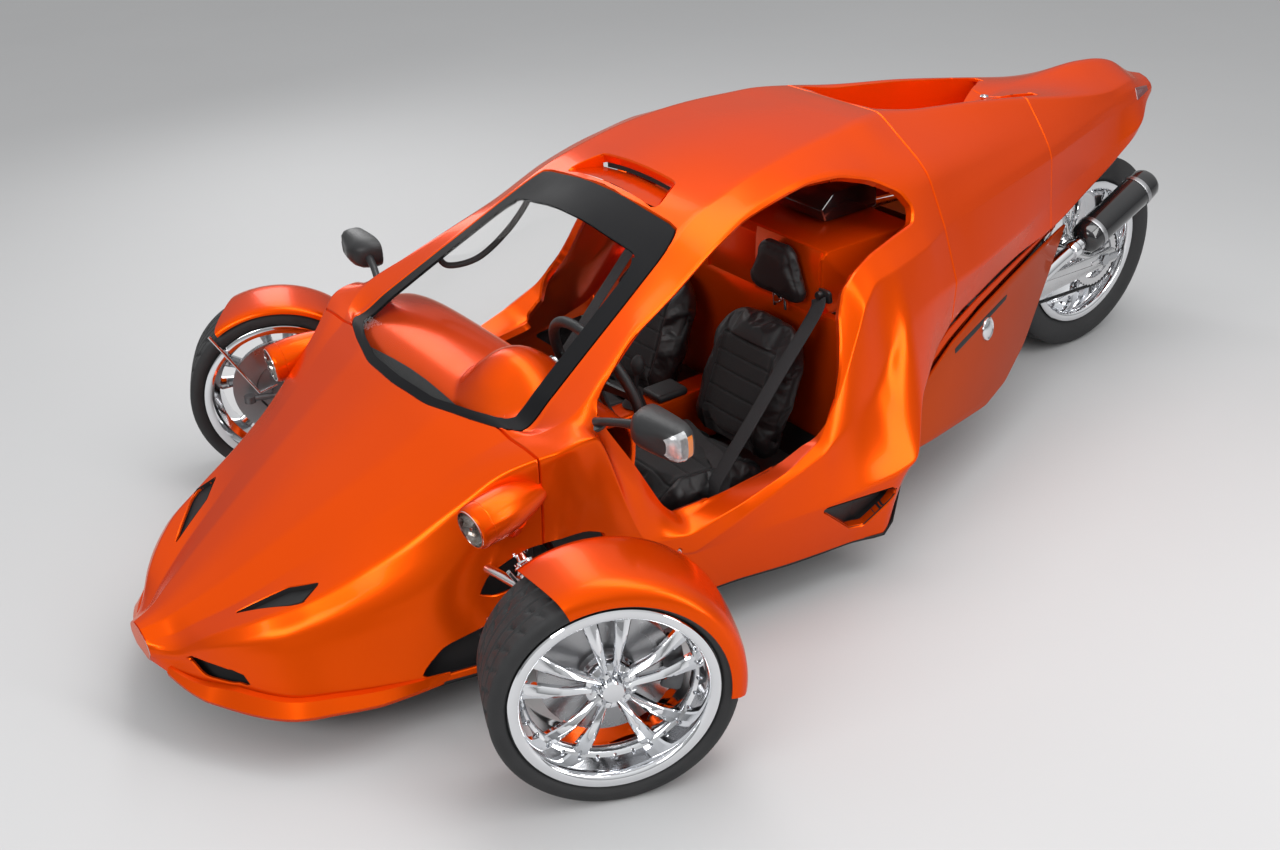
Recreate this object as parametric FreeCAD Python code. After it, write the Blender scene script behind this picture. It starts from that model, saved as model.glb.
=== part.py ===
# Three wheeled coupe: two steered wheels in front, one driven wheel behind.
# The nose points along -Y, the driver's side is +X and +Z is up.
# The origin lies on the ground, under the middle of the car's length.
# Distances along the car are counted from the front axle and shifted
# when a piece is saved.
import FreeCAD
import Part
import math
import os

os.makedirs("parts", exist_ok=True)
V = FreeCAD.Vector

# Driving dimensions in millimetres.
GRID = 1000.0            # side of the grid that the body's shares are counted in
WHEELBASE = 2480.0
MIDDLE = 1050.0          # middle of the length, behind the front axle
GROUND_GAP = 115.0       # height of the floor above the ground
WALL = 30.0              # thickness of the cabin's walls
SKIN = 12.0              # thickness of the nose and of the tail
SIDE_WALL = 18.0         # thickness of the cabin's outer skin
PANEL_GAP = 4.0          # joint between two body panels
FIT = 0.3                # clearance of curved faces that nearly touch

FRONT_TYRE_R = 272.0
FRONT_TYRE_W = 196.0
FRONT_LIP_R = 229.0
REAR_TYRE_R = 328.0
REAR_TYRE_W = 250.0
REAR_LIP_R = 242.0
RIM_SHELL = 9.0          # thickness of a rim's barrel

KINGPIN_X = 832.0        # steering axis, left side
KINGPIN_Y = 10.0
REST_STEER_DEG = 23.5    # the wheels stand turned to the right
HUB_R = 34.0
DISC_R = 150.0
DISC_T = 22.0
DISC_IN = 8.0            # disc's outer face, inboard of the wheel's middle
BALL_Z = 84.0            # height of a ball joint above or below the axle
BALL_R = 17.0
ARM_TUBE_R = 12.0
ARM_INNER_X = 430.0
ARM_INNER_Y = 120.0
ARM_CLEAR = 6.0          # gap of the steered pieces to the fixed ones

FENDER_GAP = 16.0
FENDER_T = 6.0
FENDER_W = 214.0

SEAT_X = 232.0
SEAT_W = 400.0
SEAT_Y = 640.0
SEAT_Z = 190.0
SEAT_L = 470.0
SEAT_H = 590.0
SEAT_T = 95.0

BULK_Y = 1290.0
BULK_T = 40.0
BULK_LOW = 560.0

STEER_WHEEL_R = 165.0
STEER_GRIP_R = 14.0

# Outer body, one row per station: distance along the car, then pairs
# of half width and height for the floor edge, the lower crease, the
# flare crease, the belt crease, the side, the shoulder, the crest,
# and last the height of the middle.
BODY_SHARES = (
    (-0.740, (0.040, 0.165), (0.060, 0.185), (0.062, 0.195), (0.060, 0.205),
     (0.055, 0.215), (0.045, 0.225), (0.020, 0.238), 0.240),
    (-0.690, (0.170, 0.135), (0.130, 0.190), (0.130, 0.205), (0.120, 0.215),
     (0.100, 0.222), (0.072, 0.228), (0.035, 0.252), 0.257),
    (-0.640, (0.250, 0.122), (0.210, 0.228), (0.205, 0.245), (0.180, 0.260),
     (0.145, 0.258), (0.105, 0.256), (0.055, 0.276), 0.282),
    (-0.550, (0.375, 0.115), (0.320, 0.255), (0.305, 0.285), (0.265, 0.312),
     (0.210, 0.308), (0.159, 0.302), (0.085, 0.324), 0.332),
    (-0.440, (0.435, 0.115), (0.385, 0.270), (0.365, 0.315), (0.325, 0.350),
     (0.262, 0.355), (0.206, 0.361), (0.115, 0.386), 0.396),
    (-0.300, (0.485, 0.115), (0.445, 0.285), (0.425, 0.350), (0.375, 0.408),
     (0.318, 0.424), (0.266, 0.437), (0.150, 0.464), 0.475),
    (-0.200, (0.510, 0.115), (0.480, 0.300), (0.462, 0.380), (0.412, 0.458),
     (0.358, 0.476), (0.309, 0.491), (0.175, 0.518), 0.530),
    (-0.100, (0.535, 0.115), (0.500, 0.325), (0.490, 0.430), (0.452, 0.524),
     (0.400, 0.538), (0.353, 0.546), (0.200, 0.574), 0.588),
    (0.000, (0.555, 0.115), (0.515, 0.340), (0.515, 0.480), (0.497, 0.592),
     (0.447, 0.600), (0.398, 0.602), (0.225, 0.630), 0.648),
    (0.060, (0.565, 0.115), (0.530, 0.340), (0.542, 0.500), (0.545, 0.625),
     (0.490, 0.630), (0.425, 0.628), (0.320, 0.645), 0.684),
    (0.100, (0.570, 0.115), (0.545, 0.340), (0.565, 0.510), (0.578, 0.645),
     (0.520, 0.645), (0.470, 0.643), (0.433, 0.634), 0.710),
    (0.184, (0.580, 0.116), (0.567, 0.325), (0.585, 0.480), (0.590, 0.655),
     (0.548, 0.665), (0.508, 0.682), (0.416, 0.680), 0.765),
    (0.300, (0.595, 0.120), (0.600, 0.290), (0.602, 0.310), (0.605, 0.335),
     (0.590, 0.480), (0.478, 0.740), (0.391, 0.746), 0.838),
    (0.420, (0.612, 0.130), (0.625, 0.263), (0.628, 0.268), (0.628, 0.322),
     (0.560, 0.350), (0.440, 0.800), (0.366, 0.813), 0.908),
    (0.550, (0.628, 0.130), (0.648, 0.270), (0.658, 0.330), (0.648, 0.362),
     (0.562, 0.355), (0.418, 0.854), (0.339, 0.887), 0.968),
    (0.700, (0.650, 0.122), (0.675, 0.276), (0.675, 0.395), (0.655, 0.405),
     (0.565, 0.368), (0.396, 0.928), (0.306, 0.968), 1.010),
    (0.800, (0.662, 0.120), (0.693, 0.281), (0.680, 0.432), (0.652, 0.450),
     (0.563, 0.415), (0.380, 0.965), (0.295, 0.998), 1.028),
    (0.900, (0.672, 0.118), (0.712, 0.295), (0.660, 0.465), (0.625, 0.560),
     (0.570, 0.680), (0.371, 0.988), (0.285, 1.022), 1.042),
    (1.000, (0.698, 0.118), (0.729, 0.312), (0.632, 0.500), (0.588, 0.715),
     (0.530, 0.785), (0.370, 1.003), (0.273, 1.037), 1.052),
    (1.070, (0.680, 0.300), (0.735, 0.333), (0.608, 0.560), (0.556, 0.765),
     (0.505, 0.820), (0.372, 1.002), (0.264, 1.045), 1.057),
    (1.150, (0.600, 0.440), (0.660, 0.450), (0.598, 0.645), (0.545, 0.772),
     (0.500, 0.820), (0.380, 0.988), (0.254, 1.050), 1.060),
    (1.240, (0.550, 0.475), (0.600, 0.485), (0.567, 0.650), (0.522, 0.776),
     (0.488, 0.820), (0.392, 0.960), (0.238, 1.053), 1.060),
    (1.320, (0.500, 0.500), (0.548, 0.505), (0.540, 0.651), (0.498, 0.780),
     (0.470, 0.820), (0.395, 0.940), (0.222, 1.055), 1.058),
    (1.420, (0.450, 0.515), (0.498, 0.525), (0.508, 0.649), (0.455, 0.788),
     (0.437, 0.822), (0.378, 0.932), (0.190, 1.048), 1.048),
    (1.600, (0.380, 0.530), (0.432, 0.540), (0.452, 0.645), (0.402, 0.786),
     (0.385, 0.822), (0.330, 0.915), (0.172, 1.022), 0.905),
    (1.850, (0.300, 0.550), (0.350, 0.560), (0.362, 0.645), (0.330, 0.787),
     (0.315, 0.820), (0.265, 0.893), (0.162, 0.990), 0.890),
    (2.100, (0.240, 0.565), (0.285, 0.575), (0.272, 0.660), (0.262, 0.790),
     (0.250, 0.820), (0.215, 0.870), (0.155, 0.945), 0.925),
    (2.300, (0.185, 0.600), (0.228, 0.612), (0.215, 0.678), (0.205, 0.797),
     (0.195, 0.825), (0.175, 0.860), (0.148, 0.905), 0.945),
    (2.500, (0.140, 0.655), (0.180, 0.665), (0.172, 0.710), (0.152, 0.803),
     (0.145, 0.830), (0.135, 0.852), (0.125, 0.875), 0.955),
    (2.650, (0.100, 0.715), (0.142, 0.725), (0.150, 0.745), (0.118, 0.808),
     (0.112, 0.825), (0.105, 0.845), (0.085, 0.872), 0.925),
    (2.745, (0.060, 0.770), (0.088, 0.775), (0.092, 0.785), (0.085, 0.810),
     (0.080, 0.820), (0.075, 0.830), (0.050, 0.850), 0.870),
    (2.815, (0.035, 0.785), (0.050, 0.790), (0.055, 0.797), (0.055, 0.810),
     (0.052, 0.817), (0.048, 0.824), (0.030, 0.838), 0.848),
)
# Side opening: distance along and height, seen along the tilted line
# of sight DOOR_TILT in the plane at DOOR_PLANE from the middle.
DOOR_SHARES = (
    (0.236, 0.690), (0.262, 0.735), (0.385, 0.838), (0.532, 0.914), (0.678, 1.002),
    (0.790, 1.056), (0.912, 1.088), (1.000, 1.104), (1.110, 1.096), (1.205, 1.060),
    (1.285, 1.000), (1.310, 0.945), (1.285, 0.900), (1.200, 0.880), (1.100, 0.853),
    (1.035, 0.823), (0.975, 0.780), (0.945, 0.720), (0.925, 0.640), (0.900, 0.560),
    (0.862, 0.475), (0.800, 0.404), (0.715, 0.368), (0.551, 0.354), (0.410, 0.356),
    (0.372, 0.395), (0.325, 0.490), (0.262, 0.625),
)
DOOR_TILT = 0.6          # rise of the line of sight for each unit outwards
DOOR_PLANE = 560.0
# Windscreen seen from the front: half width and height.
SCREEN_SHARES = ((0.000, 0.664), (0.200, 0.660), (0.405, 0.652), (0.292, 0.925), (0.000, 0.975))
SCREEN_FROM_SHARE = -0.060
SCREEN_TO_SHARE = 0.690
CABIN_FROM_SHARE = 0.060
CABIN_TO_SHARE = 1.420
TAIL_FROM_SHARE = 2.060
NOSE_HOLLOW_SHARE = -0.560
TAIL_HOLLOW_SHARE = 2.660


def vec(x, y, z):
    return V(x, y, z)


def grid(x, y, z):
    """Point whose three shares are counted in grid sides."""
    return V(x * GRID, y * GRID, z * GRID)


def flip(shape):
    """Mirror image on the other side of the middle plane."""
    return shape.mirror(V(0, 0, 0), V(1, 0, 0))


def both(shape):
    return Part.Compound([shape, flip(shape)])


def block(x0, x1, y0, y1, z0, z1):
    return Part.makeBox(x1 - x0, y1 - y0, z1 - z0, V(x0, y0, z0))


def rod(p, q, r):
    return Part.makeCylinder(r, (q - p).Length, p, q - p)


def pipe(p, q, r, wall):
    return rod(p, q, r).cut(rod(p, q, r - wall))


def ring_x(x0, x1, r_out, r_in, y, z):
    """Ring or disc about an axis along X."""
    outer = Part.makeCylinder(r_out, x1 - x0, V(x0, y, z), V(1, 0, 0))
    if r_in > 0:
        outer = outer.cut(Part.makeCylinder(r_in, x1 - x0, V(x0, y, z), V(1, 0, 0)))
    return outer


def lathe_x(points, x, y, z):
    """Solid turned about X from pairs of distance along X and radius."""
    pts = [V(x + a, y, z + r) for a, r in points]
    wire = Part.makePolygon(pts + [pts[0]])
    return Part.Face(wire).revolve(V(x, y, z), V(1, 0, 0), 360)


def side_prism(shares, x0, x1):
    """Prism along X over an outline given along Y and Z."""
    pts = [V(x0, y * GRID, z * GRID) for y, z in shares]
    return Part.Face(Part.makePolygon(pts + [pts[0]])).extrude(V(x1 - x0, 0, 0))


def front_prism(points, y0, y1):
    """Prism along Y over an outline given along X and Z."""
    pts = [V(x, y0, z) for x, z in points]
    return Part.Face(Part.makePolygon(pts + [pts[0]])).extrude(V(0, y1 - y0, 0))


def inset(points, d):
    """Closed outline moved inwards by d, corner by corner."""
    out = []
    n = len(points)
    for i in range(n):
        ax, az = points[i - 1]
        bx, bz = points[i]
        cx, cz = points[(i + 1) % n]
        ux, uz = bx - ax, bz - az
        wx, wz = cx - bx, cz - bz
        lu = math.hypot(ux, uz)
        lw = math.hypot(wx, wz)
        nx = -uz / lu - wz / lw
        nz = ux / lu + wx / lw
        size = math.hypot(nx, nz)
        nx = nx / size
        nz = nz / size
        along = max(0.5, -uz / lu * nx + ux / lu * nz)
        out.append((bx + nx * d / along, bz + nz * d / along))
    return out


def outline(row):
    """Closed outline of one body station, counter-clockwise from the front."""
    half = [(x * GRID, z * GRID) for x, z in row[1:-1]]
    top = [(0.0, row[-1] * GRID)]
    other = [(-x, z) for x, z in reversed(half)]
    return half + top + other


def hull(wall, rows):
    """Loft through the stations, its outline moved inwards by wall."""
    wires = []
    for row in rows:
        pts = outline(row)
        if wall > 0:
            pts = inset(pts, wall)
        vecs = [V(x, row[0] * GRID, z) for x, z in pts]
        wires.append(Part.makePolygon(vecs + [vecs[0]]))
    return Part.makeLoft(wires, True, True)


def save(name, shape):
    """Write a piece, counted from the middle of the car."""
    shape.translated(V(0, -MIDDLE, 0)).exportStep("parts/" + name + ".step")


# Body panels.
big = GRID
cabin_y0 = CABIN_FROM_SHARE * GRID
cabin_y1 = CABIN_TO_SHARE * GRID
tail_y0 = TAIL_FROM_SHARE * GRID
NOSE_ROWS = [row for row in BODY_SHARES if NOSE_HOLLOW_SHARE <= row[0] <= CABIN_FROM_SHARE]
CABIN_ROWS = [row for row in BODY_SHARES if CABIN_FROM_SHARE <= row[0] <= CABIN_TO_SHARE]
REAR_ROWS = [row for row in BODY_SHARES if CABIN_TO_SHARE <= row[0] <= TAIL_HOLLOW_SHARE]
outer = hull(0, BODY_SHARES)
inner = hull(SIDE_WALL, CABIN_ROWS)
skin = hull(RIM_SHELL, CABIN_ROWS)
shell = outer.cut(inner)
nose_part = outer.common(block(-big, big, -big, cabin_y0 - PANEL_GAP, GROUND_GAP - WALL, big * 2))
nose_part = nose_part.cut(hull(SKIN, NOSE_ROWS))
screen_half = [(x * GRID, z * GRID) for x, z in SCREEN_SHARES]
screen_line = screen_half + [(-x, z) for x, z in reversed(screen_half[1:-1])]
screen_y0 = SCREEN_FROM_SHARE * GRID
screen_y1 = SCREEN_TO_SHARE * GRID
screen_cut = front_prism(screen_line, screen_y0, screen_y1)
door_pts = [V(DOOR_PLANE * 0.4, y * GRID, z * GRID - DOOR_PLANE * 0.6 * DOOR_TILT) for y, z in DOOR_SHARES]
door_face = Part.Face(Part.makePolygon(door_pts + [door_pts[0]]))
door_side = door_face.extrude(V(DOOR_PLANE, 0, DOOR_PLANE * DOOR_TILT))
door_cut = Part.Compound([door_side, flip(door_side)])
cabin = shell.common(block(-big, big, cabin_y0, cabin_y1, 0, big * 2))
cabin = cabin.cut(screen_cut).cut(door_cut)
front = nose_part.cut(screen_cut)
glass = outer.cut(skin).common(screen_cut)
rear_all = outer.cut(hull(SKIN, REAR_ROWS))
rear = rear_all.common(block(-big, big, cabin_y1 + PANEL_GAP, tail_y0, 0, big * 2))
tail = rear_all.common(block(-big, big, tail_y0 + PANEL_GAP, big * 3, 0, big * 2))

# Openings in the panels: suspension slots, rear wheel well, cover recess.
SLOT_Y = 175.0
SLOT_HEIGHTS = ((155.0, 265.0), (295.0, 415.0))
slot = Part.Compound([block(ARM_INNER_X - WALL, big, -SLOT_Y, SLOT_Y, low, high) for low, high in SLOT_HEIGHTS])
front = front.cut(slot).cut(flip(slot))
cabin = cabin.cut(slot).cut(flip(slot))
WELL_HALF = 158.0
well = block(-WELL_HALF, WELL_HALF, tail_y0 - WALL * 4, WHEELBASE * 1.2, 0, REAR_TYRE_R * 2 + WALL)
tail = tail.cut(well)
rear = rear.cut(well)
belly = block(-WELL_HALF * 1.5, WELL_HALF * 1.5, cabin_y1 + WALL, tail_y0 + WALL, 0, REAR_TYRE_R * 1.8)
rear = rear.cut(belly)
cabin = cabin.cut(block(-big / 2, big / 2, cabin_y0, cabin_y1, 0, GROUND_GAP + WALL * 2.6))
CELL_HALF = 440.0
cabin = cabin.cut(block(-CELL_HALF, CELL_HALF, big, BULK_Y + BULK_T, 0, BULK_LOW))
save("nose", front)
save("cabin_shell", cabin)
save("windscreen", glass)
save("rear_quarters", rear)
save("tail", tail)

# Floor pan between the sills, with the front undertray.
floor = block(-big / 2 + FIT, big / 2 - FIT, cabin_y0, cabin_y1 - WALL, GROUND_GAP, GROUND_GAP + WALL)
save("floor_pan", floor)


def tyre(r_out, r_lip, width, x, y, z):
    """Low tyre with rounded shoulders, seated on its rim."""
    half = width / 2
    shoulder = (r_out - r_lip) * 0.5
    seat = r_lip - RIM_SHELL * 1.5
    pts = [
        (-half * 0.86, seat), (half * 0.86, seat), (half * 0.86, r_lip),
        (half * 0.86 + RIM_SHELL, r_lip), (half, r_lip + shoulder * 0.5),
        (half, r_out - shoulder * 0.6), (half * 0.88, r_out - shoulder * 0.12), (half * 0.7, r_out),
        (-half * 0.7, r_out), (-half * 0.88, r_out - shoulder * 0.12), (-half, r_out - shoulder * 0.6),
        (-half, r_lip + shoulder * 0.5), (-half * 0.86 - RIM_SHELL, r_lip), (-half * 0.86, r_lip),
    ]
    return lathe_x(pts, x, y, z)


def rim(r_lip, width, face, spokes, x, y, z, side):
    """Barrel with two lips, ten blades and a hub; face is the blades' place."""
    half = width / 2 * 0.86
    seat = r_lip - RIM_SHELL * 1.5
    barrel = lathe_x([
        (-half, seat), (-half, seat - RIM_SHELL), (half, seat - RIM_SHELL), (half, seat),
    ], x, y, z)
    lip = lathe_x([
        (half, seat - RIM_SHELL), (half + RIM_SHELL, seat - RIM_SHELL), (half + RIM_SHELL, r_lip),
        (half, r_lip), (half, seat),
    ], x, y, z)
    back = lathe_x([
        (-half, seat - RIM_SHELL), (-half - RIM_SHELL, seat - RIM_SHELL), (-half - RIM_SHELL, r_lip),
        (-half, r_lip), (-half, seat),
    ], x, y, z)
    if side < 0:
        lip, back = back, lip
    hub = ring_x(x + face - RIM_SHELL * 2, x + face + RIM_SHELL * 2, HUB_R * 2, 0, y, z)
    solid = barrel.fuse([lip, back, hub])
    blade_w = HUB_R * 0.5
    for i in range(spokes):
        turn = 360.0 * i / spokes
        blade = Part.makeBox(RIM_SHELL * 2, blade_w, seat - RIM_SHELL * 0.5 - HUB_R)
        blade.translate(V(x + face - RIM_SHELL, y - blade_w / 2, z + HUB_R))
        blade.rotate(V(x, y, z), V(1, 0, 0), turn)
        solid = solid.fuse(blade)
    return solid.removeSplitter()


def steered(shape):
    """Turn about the left steering axis into the stance at rest."""
    return shape.rotated(V(KINGPIN_X, KINGPIN_Y, 0), V(0, 0, 1), -REST_STEER_DEG)


def steered_right(shape):
    """Mirror to the right side, then turn the same way as the left."""
    return flip(shape).rotated(V(-KINGPIN_X, KINGPIN_Y, 0), V(0, 0, 1), -REST_STEER_DEG)


# Front wheel, left, straight ahead; both stand turned in the saved files.
WHEEL_OFFSET = 56.0
wheel_x = KINGPIN_X + WHEEL_OFFSET
axle_z = FRONT_TYRE_R
face = FRONT_TYRE_W * 0.16
front_tyre = tyre(FRONT_TYRE_R, FRONT_LIP_R, FRONT_TYRE_W, wheel_x, KINGPIN_Y, axle_z)
front_rim = rim(FRONT_LIP_R, FRONT_TYRE_W, face, 10, wheel_x, KINGPIN_Y, axle_z, 1)
disc = ring_x(wheel_x - DISC_IN - DISC_T, wheel_x - DISC_IN, DISC_R, HUB_R + FIT, KINGPIN_Y, axle_z)
hat = ring_x(wheel_x - DISC_IN, wheel_x + face - RIM_SHELL * 2, HUB_R * 1.8, HUB_R + FIT, KINGPIN_Y, axle_z)
disc = disc.fuse(hat)
for side, place in (("left", steered), ("right", steered_right)):
    save("tyre_" + side, place(front_tyre))
    save("rim_" + side, place(front_rim))
    save("disc_" + side, place(disc))

# Upright with its axle stub, caliper and steering arm; fender on two stays.
stub_in = KINGPIN_X - BALL_R
stub = rod(V(stub_in, KINGPIN_Y, axle_z), V(wheel_x + face - RIM_SHELL * 2 - FIT, KINGPIN_Y, axle_z), HUB_R - FIT)
post_x0 = KINGPIN_X - BALL_R
post_x1 = wheel_x - DISC_IN - DISC_T - ARM_CLEAR
post = block(post_x0, post_x1, KINGPIN_Y - HUB_R, KINGPIN_Y + HUB_R, axle_z - BALL_Z + BALL_R + ARM_CLEAR, axle_z + BALL_Z - BALL_R - ARM_CLEAR)
pin_r = BALL_R * 0.6
pin = rod(V(KINGPIN_X, KINGPIN_Y, axle_z - BALL_Z), V(KINGPIN_X, KINGPIN_Y, axle_z + BALL_Z), pin_r)
arm_y = KINGPIN_Y - HUB_R * 3
arm_end = V(KINGPIN_X - BALL_R, arm_y, axle_z)
steer_arm = rod(V(KINGPIN_X - pin_r, KINGPIN_Y, axle_z), arm_end, pin_r * 0.9)
eye = rod(V(KINGPIN_X - BALL_R, arm_y, axle_z - pin_r), V(KINGPIN_X - BALL_R, arm_y, axle_z + pin_r), BALL_R)
upright = post.fuse([stub, pin, steer_arm, eye])
CALIPER_SPAN = 66.0
cal_x0 = wheel_x - DISC_IN - DISC_T * 2
cal_x1 = wheel_x - DISC_IN + DISC_T
cal = ring_x(cal_x0, cal_x1, DISC_R + DISC_T, DISC_R - CALIPER_SPAN * 0.5, KINGPIN_Y, axle_z)
gap = ring_x(wheel_x - DISC_IN - DISC_T - ARM_CLEAR, wheel_x - DISC_IN + ARM_CLEAR, DISC_R + ARM_CLEAR, 0, KINGPIN_Y, axle_z)
keep = block(cal_x0, cal_x1, KINGPIN_Y + DISC_R * 0.4, KINGPIN_Y + DISC_R * 1.5, axle_z - CALIPER_SPAN, axle_z + CALIPER_SPAN)
bridge = block(post_x0, cal_x0 + DISC_T * 0.5, KINGPIN_Y, KINGPIN_Y + DISC_R * 0.9, axle_z - HUB_R * 0.5, axle_z + HUB_R * 0.5)
caliper = cal.common(keep).cut(gap)
upright = upright.fuse(bridge).cut(gap.cut(ring_x(post_x0, big, HUB_R, 0, KINGPIN_Y, axle_z)))
caliper = caliper.cut(upright)

fen_r = FRONT_TYRE_R + FENDER_GAP
band = ring_x(wheel_x - FENDER_W / 2, wheel_x + FENDER_W / 2, fen_r + FENDER_T, fen_r, KINGPIN_Y, axle_z)
FENDER_FROM_DEG = -62.0
FENDER_TO_DEG = 88.0
sector = [V(wheel_x, KINGPIN_Y, axle_z)]
steps = 12
for i in range(steps + 1):
    a = math.radians(FENDER_FROM_DEG + (FENDER_TO_DEG - FENDER_FROM_DEG) * i / steps)
    reach = fen_r * 1.4
    sector.append(V(wheel_x, KINGPIN_Y + reach * math.sin(a), axle_z + reach * math.cos(a)))
wedge = Part.Face(Part.makePolygon(sector + [sector[0]])).extrude(V(FENDER_W, 0, 0))
wedge.translate(V(-FENDER_W / 2, 0, 0))
fender = band.common(wedge)
stay_x = wheel_x - FRONT_TYRE_W / 2 - ARM_CLEAR * 1.6
stay_r = ARM_CLEAR * 0.8
foot = V(post_x0 + pin_r, KINGPIN_Y, axle_z + BALL_Z * 0.5)
stays = []
for deg in (-38.0, 42.0):
    a = math.radians(deg)
    top = V(stay_x, KINGPIN_Y + (fen_r + FENDER_T * 0.5) * math.sin(a), axle_z + (fen_r + FENDER_T * 0.5) * math.cos(a))
    low = V(stay_x, KINGPIN_Y + HUB_R * 2 * (1 if deg > 0 else -1), axle_z + BALL_Z * 0.4)
    stays.append(rod(low, top, stay_r))
    stays.append(Part.makeSphere(stay_r, low))
    stays.append(rod(low, V(post_x0 + stay_r, KINGPIN_Y + HUB_R * 0.5 * (1 if deg > 0 else -1), low.z), stay_r))
stay = stays[0].fuse(stays[1:]).cut(fender).cut(upright)
for side, place in (("left", steered), ("right", steered_right)):
    save("upright_" + side, place(upright))
    save("caliper_" + side, place(caliper))
    save("fender_" + side, place(fender))
    save("fender_stays_" + side, place(stay))

# Wishbones with their ball sockets, coil-over units and tie rods.
low_z = axle_z - BALL_Z
high_z = axle_z + BALL_Z


def wishbone(z_ball, z_in, spread):
    ball = V(KINGPIN_X, KINGPIN_Y, z_ball)
    reach = KINGPIN_X - BALL_R * 0.8
    legs = []
    for sign in (-1, 1):
        start = V(ARM_INNER_X, KINGPIN_Y + spread * sign, z_in)
        legs.append(rod(start, V(reach, KINGPIN_Y + BALL_R * 0.3 * sign, z_ball), ARM_TUBE_R))
    cup = Part.makeCylinder(BALL_R, BALL_R, ball - V(0, 0, BALL_R / 2))
    bar = rod(V(ARM_INNER_X, KINGPIN_Y - spread - WALL, z_in), V(ARM_INNER_X, KINGPIN_Y + spread + WALL, z_in), ARM_TUBE_R * 1.3)
    arm = cup.fuse(legs + [bar])
    return arm.cut(Part.makeCylinder(pin_r + FIT, BALL_R * 4, ball - V(0, 0, BALL_R * 2)))


lower = wishbone(low_z, low_z, ARM_INNER_Y)
upper = wishbone(high_z, high_z + BALL_R, ARM_INNER_Y * 0.8)
save("wishbones_left", Part.Compound([lower, upper]))
save("wishbones_right", flip(Part.Compound([lower, upper])))
SHOCK_LOW_X = 700.0
SHOCK_HIGH_X = 500.0
SHOCK_R = 30.0
shock_foot = V(SHOCK_LOW_X, KINGPIN_Y, low_z + ARM_TUBE_R)
shock_head = V(SHOCK_HIGH_X, KINGPIN_Y, high_z + SHOCK_R)
run = shock_head - shock_foot
coil = rod(shock_foot + run * 0.3, shock_foot + run * 0.85, SHOCK_R)
damper = rod(shock_foot, shock_head, SHOCK_R * 0.45)
plate = block(SHOCK_LOW_X - SHOCK_R, SHOCK_LOW_X + SHOCK_R, KINGPIN_Y - ARM_INNER_Y * 0.4, KINGPIN_Y + ARM_INNER_Y * 0.4, low_z + ARM_TUBE_R * 0.2, low_z + ARM_TUBE_R * 1.2)
shock = coil.fuse([damper, plate]).cut(lower).cut(upper)
save("coilover_left", shock)
save("coilover_right", flip(shock))
tie_z = axle_z - pin_r - ARM_CLEAR - ARM_TUBE_R
tie_end = steered(Part.Vertex(arm_end)).Point
tie_end_r = V(-KINGPIN_X + BALL_R * 2.8, tie_end.y, tie_z)
RACK_X = ARM_INNER_X + ARM_TUBE_R
rack_y = KINGPIN_Y - HUB_R * 3
rack = rod(V(-RACK_X, rack_y, tie_z), V(RACK_X, rack_y, tie_z), ARM_TUBE_R * 2)
tie_left = rod(V(RACK_X, rack_y, tie_z), V(tie_end.x, tie_end.y, tie_z), ARM_TUBE_R * 0.7)
tie_right = rod(V(-RACK_X, rack_y, tie_z), V(tie_end_r.x, tie_end_r.y, tie_z), ARM_TUBE_R * 0.7)
bracket = block(ARM_INNER_X - ARM_TUBE_R, RACK_X, rack_y - ARM_TUBE_R * 2, rack_y + ARM_TUBE_R * 2, low_z, tie_z)
rack = rack.fuse([tie_left, tie_right, bracket, flip(bracket)])
save("steering_rack", rack.cut(Part.Compound([shock, flip(shock), lower, flip(lower)])))

# Chassis: two long tubes, cross tubes and shock towers.
FRAME_R = 22.0
frame_z = GROUND_GAP + WALL + FRAME_R
rail = rod(V(ARM_INNER_X, -ARM_INNER_Y * 2.2, low_z), V(ARM_INNER_X, ARM_INNER_Y * 2.0, low_z), FRAME_R)
top_rail = rod(V(ARM_INNER_X, -ARM_INNER_Y * 1.8, high_z + BALL_R), V(ARM_INNER_X, ARM_INNER_Y * 1.8, high_z + BALL_R), FRAME_R * 0.8)
tower = rod(V(ARM_INNER_X, KINGPIN_Y + ARM_INNER_Y * 0.5, low_z), V(ARM_INNER_X, KINGPIN_Y + ARM_INNER_Y * 0.5, high_z + BALL_R), FRAME_R * 0.8)
tower2 = rod(V(ARM_INNER_X, KINGPIN_Y - ARM_INNER_Y * 1.2, low_z), V(ARM_INNER_X, KINGPIN_Y - ARM_INNER_Y * 1.2, high_z + BALL_R), FRAME_R * 0.8)
head_bar = rod(V(ARM_INNER_X, KINGPIN_Y, high_z + BALL_R), shock_head, FRAME_R * 0.8)
side_frame = rail.fuse([top_rail, tower, tower2, head_bar])
cross = rod(V(-ARM_INNER_X, FRAME_R, low_z), V(ARM_INNER_X, FRAME_R, low_z), FRAME_R)
cross2 = rod(V(-ARM_INNER_X, -ARM_INNER_Y * 1.8, low_z), V(ARM_INNER_X, -ARM_INNER_Y * 1.8, low_z), FRAME_R)
frame_front = side_frame.fuse([flip(side_frame), cross, cross2])
frame_front = frame_front.cut(Part.Compound([lower, upper, flip(lower), flip(upper), shock, flip(shock)]))
save("front_frame", frame_front.cut(front).cut(rack))

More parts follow.
